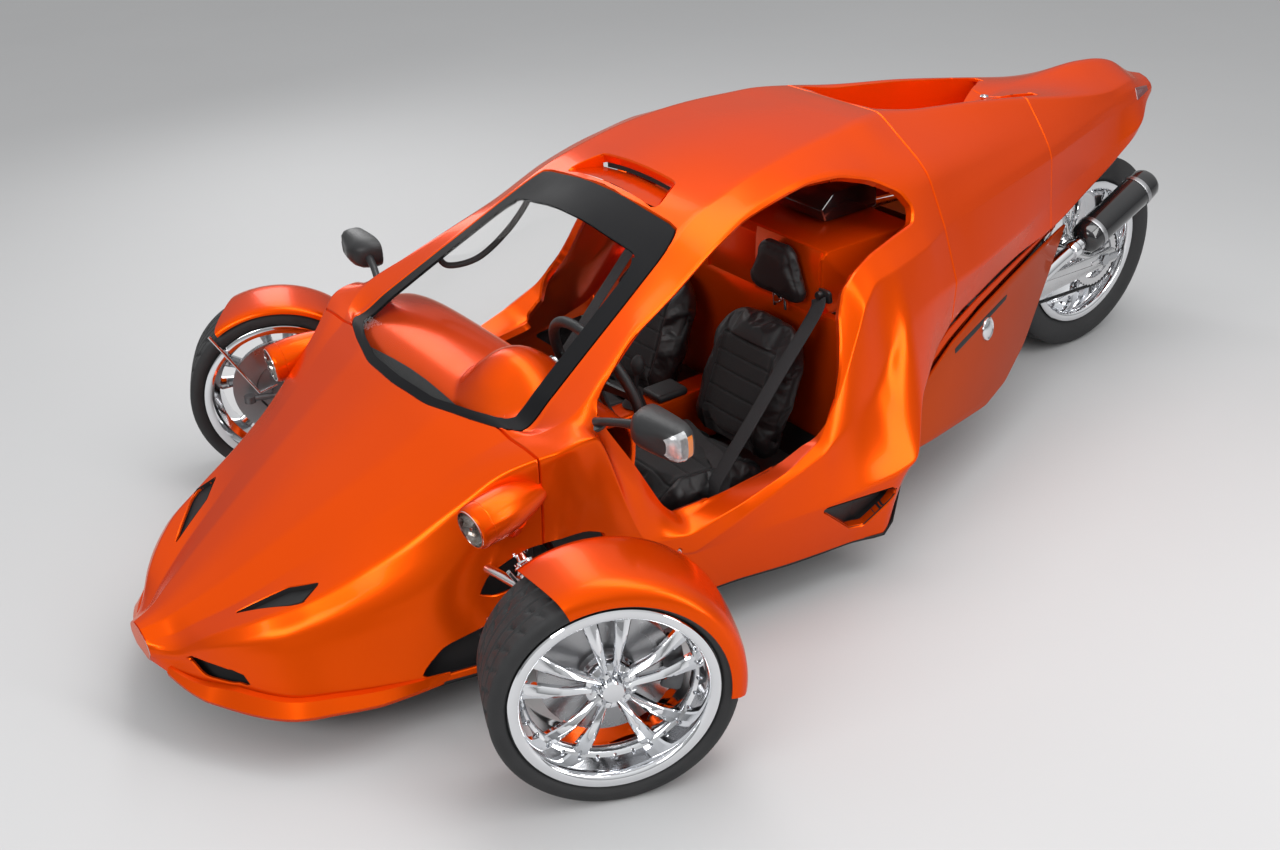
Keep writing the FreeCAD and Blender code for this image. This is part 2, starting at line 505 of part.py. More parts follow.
# Engine block, swing arm, rear wheel.
ENGINE_HALF = 205.0
ENGINE_Y = 1480.0
ENGINE_L = 430.0
ENGINE_Z = 190.0
ENGINE_H = 430.0
engine = block(-ENGINE_HALF, ENGINE_HALF, ENGINE_Y, ENGINE_Y + ENGINE_L, ENGINE_Z, ENGINE_Z + ENGINE_H)
save("engine_block", engine)
PIVOT_Y = 1960.0
PIVOT_Z = 300.0
ARM_HALF = 176.0
ARM_DEPTH = 62.0
rear_z = REAR_TYRE_R
arm_line = [
    (PIVOT_Y - ARM_DEPTH * 0.6, PIVOT_Z - ARM_DEPTH * 0.7), (WHEELBASE + ARM_DEPTH, rear_z - ARM_DEPTH * 0.4),
    (WHEELBASE + ARM_DEPTH, rear_z + ARM_DEPTH * 0.4), (PIVOT_Y - ARM_DEPTH * 0.6, PIVOT_Z + ARM_DEPTH * 0.7),
]
arm_pts = [V(ARM_HALF - ARM_TUBE_R, y, z) for y, z in arm_line]
bar = Part.Face(Part.makePolygon(arm_pts + [arm_pts[0]])).extrude(V(ARM_TUBE_R * 2, 0, 0))
pivot = rod(V(-ARM_HALF, PIVOT_Y, PIVOT_Z), V(ARM_HALF, PIVOT_Y, PIVOT_Z), FRAME_R)
axle_r = HUB_R * 0.4
axle = rod(V(-ARM_HALF - ARM_TUBE_R * 2, WHEELBASE, rear_z), V(ARM_HALF + ARM_TUBE_R * 2, WHEELBASE, rear_z), axle_r)
swing = bar.fuse([flip(bar), pivot, axle])
save("swing_arm", swing)
link_low = V(0, PIVOT_Y - ARM_DEPTH, PIVOT_Z)
cradle_leg = rod(V(ARM_HALF * 0.8, ENGINE_Y + ENGINE_L, PIVOT_Z), V(ARM_HALF * 0.8, PIVOT_Y - FRAME_R * 0.5, PIVOT_Z), FRAME_R)
cradle_up = rod(V(ARM_HALF * 0.8, ENGINE_Y + ENGINE_L - FRAME_R * 0.5, ENGINE_Z + ENGINE_H - FRAME_R), V(ARM_HALF * 0.8, tail_y0 - WALL, rear_z * 2.95), FRAME_R * 0.7)
cradle_fore = rod(V(ARM_HALF * 0.8, BULK_Y + BULK_T, PIVOT_Z), V(ARM_HALF * 0.8, ENGINE_Y, PIVOT_Z), FRAME_R)
cradle_high = rod(V(ARM_HALF * 0.8, BULK_Y + BULK_T, ENGINE_Z + ENGINE_H - FRAME_R), V(ARM_HALF * 0.8, ENGINE_Y, ENGINE_Z + ENGINE_H - FRAME_R), FRAME_R)
cradle = Part.Compound([cradle_leg, cradle_up, cradle_fore, cradle_high])
cradle = both(cradle).common(outer.fuse(block(-big, big, 0, big * 3, 0, BULK_LOW))).cut(swing).cut(engine).cut(rear)
rear_face = REAR_TYRE_W * 0.12
rear_tyre = tyre(REAR_TYRE_R, REAR_LIP_R, REAR_TYRE_W, 0, WHEELBASE, rear_z)
rear_rim = rim(REAR_LIP_R, REAR_TYRE_W, rear_face, 10, 0, WHEELBASE, rear_z, 1)
bore = ring_x(-ARM_HALF, ARM_HALF, axle_r + FIT, 0, WHEELBASE, rear_z)
pulley = ring_x(rear_face + RIM_SHELL * 2, ARM_HALF - ARM_TUBE_R - ARM_CLEAR, HUB_R * 1.2, 0, WHEELBASE, rear_z)
pulley = pulley.fuse(ring_x(ARM_HALF - ARM_TUBE_R - ARM_CLEAR - RIM_SHELL * 2, ARM_HALF - ARM_TUBE_R - ARM_CLEAR, HUB_R * 3, 0, WHEELBASE, rear_z))
save("rear_tyre", rear_tyre)
save("rear_rim", rear_rim.cut(bore))
save("rear_pulley", pulley.cut(bore))

# Silencer and its pipe beside the rear wheel.
CAN_R = 52.0
can_a = V(ARM_HALF + ARM_TUBE_R + CAN_R + ARM_CLEAR, PIVOT_Y + ARM_DEPTH * 5, PIVOT_Z + ARM_DEPTH * 2.4)
can_b = can_a + V(0, ARM_DEPTH * 5.4, ARM_DEPTH * 2.2)
can = rod(can_a, can_b, CAN_R)
can = can.cut(rod(can_b - (can_b - can_a) * 0.1, can_b, CAN_R * 0.7))
pipe_in = V(ENGINE_HALF * 0.9, ENGINE_Y + ENGINE_L - FRAME_R, ENGINE_Z + FRAME_R * 3)
joint = V(ARM_HALF + ARM_TUBE_R + CAN_R, PIVOT_Y + ARM_DEPTH * 1.5, PIVOT_Z + ARM_DEPTH * 1.2)
head = rod(pipe_in, joint, FRAME_R)
head = head.fuse([Part.makeSphere(FRAME_R, joint), rod(joint, can_a + (can_b - can_a) * 0.02, FRAME_R)])
save("exhaust", can.fuse(head).cut(engine).cut(rear).cut(tail).cut(cradle).cut(swing))

# Engine side covers, flat plates below the tapered flanks, on two arms.
COVER_T = 10.0
COVER_X = 560.0
COVER_FROM = 1290.0
COVER_MID = 400.0
COVER_TAPER = 0.335
COVER_TILT = 0.12
COVER_SHARES = (
    (1.150, 0.270), (1.280, 0.245), (1.610, 0.195), (1.745, 0.211), (1.885, 0.275), (2.205, 0.535),
    (2.190, 0.548), (1.850, 0.532), (1.600, 0.512), (1.420, 0.494), (1.240, 0.455), (1.160, 0.420),
)


def on_cover(y, z):
    """Point of the cover's outer plane."""
    return V(COVER_X - COVER_TAPER * (y - COVER_FROM) + COVER_TILT * (COVER_MID - z), y, z)


cover_pts = [on_cover(y * GRID, z * GRID) for y, z in COVER_SHARES]
cover = Part.Face(Part.makePolygon(cover_pts + [cover_pts[0]])).extrude(V(-COVER_T, 0, 0))
cover = cover.cut(outer)
save("side_cover_left", cover)
save("side_cover_right", flip(cover))
arms = []
for y, z in ((ENGINE_Y + ENGINE_L * 0.35, ENGINE_Z + ENGINE_H * 0.55), (ENGINE_Y + ENGINE_L * 0.75, ENGINE_Z + ENGINE_H * 0.35)):
    tip = on_cover(y, z)
    arms.append(rod(V(ENGINE_HALF, y, z), V(tip.x - COVER_T * 0.5, y, z), ARM_TUBE_R))
arms = Part.Compound(arms).cut(cover)
save("rear_cradle", Part.Compound(cradle.Solids + arms.Solids + flip(arms).Solids))

# Cabin fittings.
bulk_top = block(-big * 0.52, big * 0.52, BULK_Y, BULK_Y + BULK_T, BULK_LOW, big * 0.86).common(inner)
bulk = block(-CELL_HALF, CELL_HALF, BULK_Y, BULK_Y + BULK_T, GROUND_GAP + WALL, BULK_LOW).fuse(bulk_top)
save("bulkhead", bulk.cut(floor))
tunnel = block(-WALL * 1.6, WALL * 1.6, cabin_y0 + WALL * 10, BULK_Y, GROUND_GAP + WALL, GROUND_GAP + WALL * 7)
save("tunnel", tunnel)
dash_y0 = cabin_y0 + WALL * 3
dash = block(-big, big, dash_y0, dash_y0 + WALL * 5, big * 0.42, big * 0.64).common(inner)
save("dashboard", dash.cut(tunnel))


def seat(x):
    """Bucket seat: cushion, back and two bolsters, one simple solid."""
    half = SEAT_W / 2
    pts = [
        V(x - half, SEAT_Y, SEAT_Z), V(x - half, SEAT_Y + SEAT_L, SEAT_Z - WALL),
        V(x - half, SEAT_Y + SEAT_L + SEAT_T * 1.9, SEAT_Z + SEAT_H),
        V(x - half, SEAT_Y + SEAT_L + SEAT_T * 0.9, SEAT_Z + SEAT_H + WALL),
        V(x - half, SEAT_Y + SEAT_L - SEAT_T * 0.9, SEAT_Z + SEAT_T * 1.1),
        V(x - half, SEAT_Y, SEAT_Z + SEAT_T * 1.4),
    ]
    return Part.Face(Part.makePolygon(pts + [pts[0]])).extrude(V(SEAT_W, 0, 0))


def headrest(x):
    half = SEAT_W * 0.26
    y0 = BULK_Y - SEAT_T * 0.9
    z0 = SEAT_Z + SEAT_H + WALL * 1.4
    return block(x - half, x + half, y0, BULK_Y, z0, big * 0.9).cut(bulk)


SEAT_RISE = SEAT_Z - WALL - GROUND_GAP - WALL
for name, x in (("left", SEAT_X), ("right", -SEAT_X)):
    save("seat_" + name, seat(x).cut(bulk).cut(tunnel))
    save("seat_base_" + name, block(x - SEAT_W * 0.3, x + SEAT_W * 0.3, SEAT_Y + WALL, SEAT_Y + SEAT_L, GROUND_GAP + WALL, SEAT_Z).cut(seat(x)))
    save("headrest_" + name, headrest(x))

SHELF_Z = 860.0
BOX_HALF = 190.0
shelf = block(-BOX_HALF * 1.6, BOX_HALF * 1.6, BULK_Y, BULK_Y + SEAT_T * 1.1, SHELF_Z, SHELF_Z + WALL * 0.5).common(inner)
save("rear_shelf", shelf)

# Steering column and wheel on the driver's side.
WHEEL_Y = 430.0
WHEEL_Z = 590.0
COLUMN_DROP = 0.35
col_axis = V(0, -1, -COLUMN_DROP)
col_axis.normalize()
wheel_c = V(SEAT_X, WHEEL_Y, WHEEL_Z)
col_top = wheel_c + col_axis * (STEER_GRIP_R * 1.7 + FIT)
column = rod(col_top, wheel_c + col_axis * (STEER_WHEEL_R * 1.6), STEER_GRIP_R * 1.5)
save("steering_column", column.cut(dash))
grip = Part.makeTorus(STEER_WHEEL_R, STEER_GRIP_R, wheel_c, col_axis)
boss = rod(wheel_c - col_axis * STEER_GRIP_R, wheel_c + col_axis * (STEER_GRIP_R * 1.7), STEER_GRIP_R * 3)
spokes = []
side_dir = V(1, 0, 0)
down_dir = col_axis.cross(side_dir)
if down_dir.z > 0:
    down_dir = down_dir * -1
for d in (side_dir, side_dir * -1, down_dir):
    spokes.append(rod(wheel_c, wheel_c + d * STEER_WHEEL_R, STEER_GRIP_R * 0.8))
save("steering_wheel", grip.fuse([boss] + spokes))

# Headlamps in bullet pods on the shoulders of the nose.
LAMP_X = 537.0
LAMP_Y = -118.0
LAMP_Z = 514.0
LAMP_R = 52.0
pod = Part.makeCylinder(LAMP_R, LAMP_R * 2.4, V(LAMP_X, LAMP_Y, LAMP_Z), V(-0.1, 1, 0))
pod = pod.fuse(Part.makeCone(LAMP_R, LAMP_R * 0.3, LAMP_R * 2.6, V(LAMP_X - LAMP_R * 0.239, LAMP_Y + LAMP_R * 2.388, LAMP_Z), V(-0.1, 1, 0)))
stem = rod(V(LAMP_X - LAMP_R * 0.1, LAMP_Y + LAMP_R * 2.2, LAMP_Z - LAMP_R * 0.4), V(ARM_INNER_X, LAMP_Y + LAMP_R * 2.6, high_z + BALL_R), LAMP_R * 0.5)
pod = pod.fuse(stem).cut(outer).cut(shock).cut(frame_front)
lens = Part.makeCylinder(LAMP_R * 0.86, LAMP_R * 0.5, V(LAMP_X, LAMP_Y - LAMP_R * 0.1, LAMP_Z), V(-0.1, 1, 0))
save("headlamp_pod_left", pod.cut(lens))
save("headlamp_pod_right", flip(pod.cut(lens)))
save("headlamp_left", lens)
save("headlamp_right", flip(lens))

# Mirrors on their arms.
MIRROR_X = 717.0
MIRROR_Y = 263.0
MIRROR_Z = 690.0
MIRROR_HALF = 78.0
MIRROR_H = 92.0
MIRROR_D = 66.0
head_box = block(MIRROR_X - MIRROR_HALF, MIRROR_X + MIRROR_HALF, MIRROR_Y - MIRROR_D / 2, MIRROR_Y + MIRROR_D / 2, MIRROR_Z - MIRROR_H / 2, MIRROR_Z + MIRROR_H / 2)
mirror_foot = V(MIRROR_X * 0.7, MIRROR_Y * 0.78, MIRROR_Z * 0.92)
mirror_arm = rod(V(MIRROR_X - MIRROR_HALF * 0.5, MIRROR_Y, MIRROR_Z), mirror_foot, MIRROR_H * 0.12)
mirror = head_box.fuse(mirror_arm).cut(outer)
save("mirror_left", mirror)
save("mirror_right", flip(mirror))

# Tail lamps on the tail's rear edge.
TAIL_LAMP_R = 26.0
tail_lamp = rod(V(TAIL_LAMP_R * 2, big * 2.66, big * 0.845), V(TAIL_LAMP_R * 2, big * 2.72, big * 0.845), TAIL_LAMP_R)
tail_lamps = both(tail_lamp)
save("tail_lamps", tail_lamps.cut(tail))
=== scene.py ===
"""Three wheeled coupe, dressed for rendering: painted body, glass, wheels, suspension, seats and cabin."""

import math

import bmesh
import bpy
import numpy as np
from mathutils import Matrix, Vector


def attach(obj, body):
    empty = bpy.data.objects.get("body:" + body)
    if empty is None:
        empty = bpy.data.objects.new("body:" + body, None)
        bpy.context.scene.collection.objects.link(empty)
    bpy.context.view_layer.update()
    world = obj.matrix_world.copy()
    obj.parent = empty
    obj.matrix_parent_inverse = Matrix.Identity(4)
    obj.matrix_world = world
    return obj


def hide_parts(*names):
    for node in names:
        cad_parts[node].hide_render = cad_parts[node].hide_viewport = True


bl_info = {
    "name": "Three Wheeled Coupe",
    "version": (1, 0, 0),
    "blender": (4, 5, 0),
    "location": "View3D > Sidebar > Coupe",
    "description": "Builds the bodywork, wheels, suspension and cabin of a low three wheeled coupe",
    "category": "Object",
}

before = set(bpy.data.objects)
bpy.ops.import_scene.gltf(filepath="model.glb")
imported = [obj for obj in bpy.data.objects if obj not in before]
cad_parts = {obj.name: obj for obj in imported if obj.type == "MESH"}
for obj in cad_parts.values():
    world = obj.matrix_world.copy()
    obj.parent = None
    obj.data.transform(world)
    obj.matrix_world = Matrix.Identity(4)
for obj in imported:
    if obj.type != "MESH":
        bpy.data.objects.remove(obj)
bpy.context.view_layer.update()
FRONT = -1.050                                       # front axle in the row frame; lengths below are counted from it
FOCAL_PIXELS, PHOTO_WIDTH, SENSOR_WIDTH = 1467.64, 1280, 36.0
CAMERA_PLACE = (2.99005, -1.3543, 2.2373)
CAMERA_ANGLES = (55.31, 28.62, -2.84)                # azimuth, elevation and roll of the photo's camera, degrees

# Body stations: distance behind the front axle, then pairs of half width and height for the floor
# edge, lower crease, flare crease, belt crease, side, shoulder and crest, and the middle's height.
STATIONS = (
    (-.740, (.040, .165), (.060, .185), (.062, .195), (.060, .205),
     (.055, .215), (.045, .225), (.020, .238), .240),
    (-.690, (.170, .135), (.130, .190), (.130, .205), (.120, .215),
     (.100, .222), (.072, .228), (.035, .252), .257),
    (-.640, (.250, .122), (.210, .228), (.205, .245), (.180, .260),
     (.145, .258), (.105, .256), (.055, .276), .282),
    (-.550, (.375, .115), (.320, .255), (.305, .285), (.265, .312),
     (.210, .308), (.159, .302), (.085, .324), .332),
    (-.440, (.435, .115), (.385, .270), (.365, .315), (.325, .350),
     (.262, .355), (.206, .361), (.115, .386), .396),
    (-.300, (.485, .115), (.445, .285), (.425, .350), (.375, .408),
     (.318, .424), (.266, .437), (.150, .464), .475),
    (-.200, (.510, .115), (.480, .300), (.462, .380), (.412, .458),
     (.358, .476), (.309, .491), (.175, .518), .530),
    (-.100, (.535, .115), (.500, .325), (.490, .430), (.452, .524),
     (.400, .538), (.353, .546), (.200, .574), .588),
    (.000, (.555, .115), (.515, .340), (.515, .480), (.497, .592),
     (.447, .600), (.398, .602), (.225, .630), .648),
    (.060, (.565, .115), (.530, .340), (.542, .500), (.545, .625),
     (.490, .630), (.425, .628), (.320, .645), .684),
    (.100, (.570, .115), (.545, .340), (.565, .510), (.578, .645),
     (.520, .645), (.470, .643), (.433, .634), .710),
    (.184, (.580, .116), (.567, .325), (.585, .480), (.590, .655),
     (.548, .665), (.508, .682), (.416, .680), .765),
    (.300, (.595, .120), (.600, .290), (.602, .310), (.605, .335),
     (.590, .480), (.478, .740), (.391, .746), .838),
    (.420, (.612, .130), (.625, .263), (.628, .268), (.628, .322),
     (.560, .350), (.440, .800), (.366, .813), .908),
    (.550, (.628, .130), (.648, .270), (.658, .330), (.648, .362),
     (.562, .355), (.418, .854), (.339, .887), .968),
    (.700, (.650, .122), (.675, .276), (.675, .395), (.655, .405),
     (.565, .368), (.396, .928), (.306, .968), 1.010),
    (.800, (.662, .120), (.693, .281), (.680, .432), (.652, .450),
     (.563, .415), (.380, .965), (.295, .998), 1.028),
    (.900, (.672, .118), (.712, .295), (.660, .465), (.625, .560),
     (.570, .680), (.371, .988), (.285, 1.022), 1.042),
    (1.000, (.698, .118), (.729, .312), (.632, .500), (.588, .715),
     (.530, .785), (.370, 1.003), (.273, 1.037), 1.052),
    (1.070, (.680, .300), (.735, .333), (.608, .560), (.556, .765),
     (.505, .820), (.372, 1.002), (.264, 1.045), 1.057),
    (1.150, (.600, .440), (.660, .450), (.598, .645), (.545, .772),
     (.500, .820), (.380, .988), (.254, 1.050), 1.060),
    (1.240, (.550, .475), (.600, .485), (.567, .650), (.522, .776),
     (.488, .820), (.392, .960), (.238, 1.053), 1.060),
    (1.320, (.500, .500), (.548, .505), (.540, .651), (.498, .780),
     (.470, .820), (.395, .940), (.222, 1.055), 1.058),
    (1.420, (.450, .515), (.498, .525), (.508, .649), (.455, .788),
     (.437, .822), (.378, .932), (.190, 1.048), 1.048),
    (1.600, (.380, .530), (.432, .540), (.452, .645), (.402, .786),
     (.385, .822), (.330, .915), (.172, 1.022), .905),
    (1.850, (.300, .550), (.350, .560), (.362, .645), (.330, .787),
     (.315, .820), (.265, .893), (.162, .990), .890),
    (2.100, (.240, .565), (.285, .575), (.272, .660), (.262, .790),
     (.250, .820), (.215, .870), (.155, .945), .925),
    (2.300, (.185, .600), (.228, .612), (.215, .678), (.205, .797),
     (.195, .825), (.175, .860), (.148, .905), .945),
    (2.500, (.140, .655), (.180, .665), (.172, .710), (.152, .803),
     (.145, .830), (.135, .852), (.125, .875), .955),
    (2.650, (.100, .715), (.142, .725), (.150, .745), (.118, .808),
     (.112, .825), (.105, .845), (.085, .872), .925),
    (2.745, (.060, .770), (.088, .775), (.092, .785), (.085, .810),
     (.080, .820), (.075, .830), (.050, .850), .870),
    (2.815, (.035, .785), (.050, .790), (.055, .797), (.055, .810),
     (.052, .817), (.048, .824), (.030, .838), .848),
)
# How far each corner of a section is rounded, as a share of its two spans, at four distances.
ROUNDING = (
    (-.74, .06, .16, .30, .14, .30, .08, .10, .40),
    (.05, .06, .16, .40, .16, .30, .08, .10, .46),
    (.30, .06, .08, .20, .10, .20, .08, .08, .46),
    (1.00, .06, .05, .10, .06, .16, .08, .08, .46),
    (1.42, .08, .08, .08, .05, .30, .30, .10, .10),
    (2.82, .08, .12, .08, .05, .30, .30, .16, .20),
)
# Outlines of the openings, each in its own plane of view.
DOOR = (
    (.236, .690), (.262, .735), (.385, .838), (.532, .914), (.678, 1.002),
    (.790, 1.056), (.912, 1.088), (1.000, 1.104), (1.110, 1.096), (1.205, 1.060),
    (1.285, 1.000), (1.310, .945), (1.285, .900), (1.200, .880), (1.100, .853),
    (1.035, .823), (.975, .780), (.945, .720), (.925, .640), (.900, .560),
    (.862, .475), (.800, .404), (.715, .368), (.551, .354), (.410, .356),
    (.372, .395), (.325, .490), (.262, .625),
)
DOOR_TILT, DOOR_PLANE = .6, .56
SCREEN = ((.0, -.018), (.15, -.008), (.29, .030), (.380, .062), (.426, .095), (.313, .650), (.150, .640), (.0, .634))
SCREEN_CLEAR = ((.0, .004), (.15, .014), (.28, .050), (.352, .082), (.372, .110), (.282, .545), (.150, .530),
                (.0, .524))
HOOD_VENT = ((.186, -.566), (.300, -.470), (.318, -.448), (.306, -.398), (.248, -.450))
ROOF_SCOOP = ((.0, .654), (.200, .655), (.158, .750), (.0, .750))
DECK_WELL = ((.0, 1.452), (.10, 1.446), (.156, 1.434), (.153, 1.600), (.147, 1.850), (.138, 2.055), (.126, 2.190),
             (.0, 1.945))
SIDE_INTAKE = ((.780, .272), (.990, .270), (1.012, .250), (.925, .172), (.880, .178))
NOSE_INTAKE = ((.140, .210), (.225, .205), (.318, .190), (.262, .170), (.195, .172))
UPPER_SLOT = ((-.070, .352), (.020, .392), (.150, .408), (.196, .394), (.200, .350), (.120, .318), (-.060, .296),
              (-.100, .310))
LOWER_SLOT = ((-.262, .152), (-.200, .208), (-.060, .240), (.100, .240), (.140, .205), (.120, .150), (-.100, .138),
              (-.240, .136))
COVER = (
    (1.150, .270), (1.280, .245), (1.610, .195), (1.745, .211), (1.885, .275), (2.205, .535),
    (2.150, .535), (1.850, .515), (1.600, .495), (1.420, .470), (1.290, .435), (1.175, .395),
)

# ---- surfaces ----------------------------------------------------------------------------------


def flat_rows(rows):
    """Rows of single numbers and pairs as one table of numbers."""
    return np.array([[v for cell in row for v in (cell if isinstance(cell, tuple) else (cell,))] for row in rows],
                    float)


def through(rows, places):
    """Cubic through the rows, whose first column is the place: values at the given places.
    Tangents are the weighted mean of the two neighbouring slopes, held to three times the smaller."""
    r = flat_rows(rows)
    x, y = r[:, 0], r[:, 1:]
    h = np.diff(x)[:, None]
    d = np.diff(y, axis=0) / h
    m = np.empty_like(y)
    m[0], m[-1] = d[0], d[-1]
    m[1:-1] = (d[:-1] * h[1:] + d[1:] * h[:-1]) / (h[:-1] + h[1:])
    small = np.minimum(np.abs(d[:-1]), np.abs(d[1:]))
    cap = np.where(d[:-1] * d[1:] > 0, 3.0, 1.0) * small
    m[1:-1] = np.clip(m[1:-1], -cap - .02, cap + .02)
    spot = np.clip(np.asarray(places, float), x[0], x[-1])
    i = np.clip(np.searchsorted(x, spot, side="right") - 1, 0, len(x) - 2)
    t = ((spot - x[i]) / h[i, 0])[:, None]
    return ((2 * t**3 - 3 * t**2 + 1) * y[i] + (t**3 - 2 * t**2 + t) * h[i] * m[i]
            + (3 * t**2 - 2 * t**3) * y[i + 1] + (t**3 - t**2) * h[i] * m[i + 1])


def rounded(q, s, span=5, turn=6, closed=False):
    """Sections q (rows, corners, 2) as smooth lines: each corner becomes a quadratic curve that starts and
    ends at the share s of its two spans, and what is left of each span stays straight, in `span` cells."""
    t = np.linspace(0, 1, turn + 1)[None, :, None]
    out, last = [], None
    n = q.shape[1]
    ways = [np.linspace(0, 1, c + 1)[1:-1][None, :, None] for c in np.broadcast_to(span, (n,))]
    ends = []
    for k in range(n):
        if not closed and k in (0, n - 1):
            piece = q[:, k:k + 1]
        else:
            before, after, here = q[:, k - 1], q[:, (k + 1) % n], q[:, k]
            a = (here + s[:, k, None] * (before - here))[:, None]
            b = (here + s[:, k, None] * (after - here))[:, None]
            piece = (1 - t) ** 2 * a + 2 * t * (1 - t) * here[:, None] + t**2 * b
        ends.append(piece)
    for k, piece in enumerate(ends):
        if last is not None:
            w = ways[k - 1]
            out.append(last[:, -1:] * (1 - w) + piece[:, :1] * w)
        out.append(piece)
        last = piece
    if closed:
        out.append(last[:, -1:] * (1 - ways[-1]) + ends[0][:, :1] * ways[-1])
    return np.concatenate(out, axis=1)


def body_grid(places, low=5):
    """Body surface at distances behind the front axle: the stations' corners through a cubic, rounded, both
    sides; the three lowest spans of each side have `low` cells, the others five."""
    places = np.asarray(places, float)
    flat = through(STATIONS, places)
    rows = flat_rows(STATIONS)
    straight = np.mean([[np.interp(places + d, rows[:, 0], rows[:, k]) for k in range(1, 11)]
                        for d in np.linspace(-.016, .016, 7)], axis=0).T
    share = (np.clip((places - .20) / .15, 0, 1) * np.clip((1.50 - places) / .10, 0, 1))[:, None]
    flat[:, :10] = flat[:, :10] * (1 - share) + straight * share
    soft = through(ROUNDING, places)
    half = flat[:, :14].reshape(len(places), 7, 2)
    top = np.stack([np.zeros(len(places)), flat[:, 14]], axis=1)[:, None]
    other = half[:, ::-1] * np.array([-1.0, 1.0])
    q = np.concatenate([half, top, other], axis=1)
    s = np.concatenate([soft[:, :8], soft[:, 6::-1]], axis=1)
    line = rounded(q, s, span=[low] * 3 + [5] * 8 + [low] * 4)
    return at(line[..., 0], places[:, None], line[..., 1])


def smooth_outline(points, share=.2, span=10, turn=10):
    """Closed outline with its corners rounded over a share of each side."""
    q = np.array(points, float)[None]
    return rounded(q, np.full(q.shape[:2], share), span=span, turn=turn, closed=True)[0]


def sharp_outline(points):
    """Closed outline with its corners only just broken."""
    return smooth_outline(points, .05, 2, 3)


def mirrored_outline(points):
    """Outline given for one side, from the middle to the middle, closed over both sides."""
    p = list(points)
    return p + [(-x, y) for x, y in reversed(p) if x > 1e-9]


def distance(px, py, outline):
    """Signed distance to a closed outline, negative inside: nearest point on each side, and the crossing
    count of a ray for the sign."""
    shape = px.shape
    p = np.stack([px.ravel(), py.ravel()], axis=1)
    a = outline
    b = np.roll(outline, -1, axis=0)
    best = np.full(len(p), 9.0)
    inside = np.zeros(len(p), bool)
    for (ax, ay), (bx, by) in zip(a, b):
        ex, ey = bx - ax, by - ay
        length = max(ex * ex + ey * ey, 1e-12)
        u = np.clip(((p[:, 0] - ax) * ex + (p[:, 1] - ay) * ey) / length, 0, 1)
        best = np.minimum(best, np.hypot(p[:, 0] - ax - u * ex, p[:, 1] - ay - u * ey))
        crosses = ((ay > p[:, 1]) != (by > p[:, 1]))
        inside ^= crosses & (p[:, 0] < ax + (p[:, 1] - ay) / (by - ay if by != ay else 1e-12) * ex)
    return np.where(inside, -best, best).reshape(shape)


def unit(v):
    """Vectors at length one."""
    return v / np.maximum(np.linalg.norm(v, axis=-1, keepdims=True), 1e-9)


def slopes(p):
    """Steps of a grid along its rows and columns."""
    return np.gradient(p, axis=0), np.gradient(p, axis=1)


def normals(p):
    """Normals of a grid, across its rows and columns."""
    du, dv = slopes(p)
    return unit(np.cross(du, dv))


def trimmed(p, s):
    """Grid p cut along s = 0: cells whose mean s is positive stay, and the vertices between a kept and a
    removed cell slide along the grid to s = 0, by the distance over its slope."""
    mean = (s[:-1, :-1] + s[1:, :-1] + s[:-1, 1:] + s[1:, 1:]) / 4
    keep = mean > 0
    near = np.zeros(s.shape, bool)
    gone = np.zeros(s.shape, bool)
    for a in (slice(None, -1), slice(1, None)):
        for b in (slice(None, -1), slice(1, None)):
            near[a, b] |= keep
            gone[a, b] |= ~keep
    edge = near & gone
    out = p.copy()
    su, sv = np.gradient(s, axis=0), np.gradient(s, axis=1)
    pu, pv = slopes(p)
    size = np.maximum(su**2 + sv**2, 1e-9)
    du = np.clip(-s * su / size, -.95, .95)[..., None]
    dv = np.clip(-s * sv / size, -.95, .95)[..., None]
    out[edge] = (p + du * pu + dv * pv)[edge]
    return out, keep


def faces_of(keep):
    """Quads of the kept cells of a grid, as rows of four vertex numbers."""
    r, c = keep.shape
    n = np.arange((r + 1) * (c + 1)).reshape(r + 1, c + 1)
    quads = np.stack([n[:-1, :-1], n[1:, :-1], n[1:, 1:], n[:-1, 1:]], axis=-1)
    return quads[keep]


def shell(p, keep, wall, lip=.0025, nrm=None):
    """Plate on the kept cells of grid p: an outer skin, an inner one offset by the wall along the normals,
    and a rim between them with a small bevel of size lip. Returns vertices and quads."""
    nrm = normals(p) if nrm is None else nrm
    quads = faces_of(keep)
    flat, nf = p.reshape(-1, 3).copy(), nrm.reshape(-1, 3)
    sides = np.concatenate([quads[:, [0, 1]], quads[:, [1, 2]], quads[:, [2, 3]], quads[:, [3, 0]]])
    key = np.sort(sides, axis=1)
    code = key[:, 0] * (len(flat) + 1) + key[:, 1]
    _, first, count = np.unique(code, return_index=True, return_counts=True)
    rim = sides[first[count == 1]]
    out = np.zeros_like(flat)
    run = flat[rim[:, 1]] - flat[rim[:, 0]]
    push = unit(np.cross(run, nf[rim[:, 0]] + nf[rim[:, 1]]))
    np.add.at(out, rim[:, 0], push)
    np.add.at(out, rim[:, 1], push)
    out = unit(out)
    used = np.unique(rim)
    n = len(flat)
    index = np.full(n, -1)
    index[used] = np.arange(len(used))
    outer = flat.copy()
    outer[used] -= out[used] * lip
    corner = flat[used] - nf[used] * lip
    inner = flat - nf * wall
    verts = np.concatenate([outer, corner, inner])
    a, b = rim[:, 0], rim[:, 1]
    ca, cb = n + index[a], n + index[b]
    base = n + len(used)
    strips = [np.stack([b, a, ca, cb], axis=1), np.stack([cb, ca, base + a, base + b], axis=1)]
    return verts, np.concatenate([quads, quads[:, ::-1] + base] + strips)


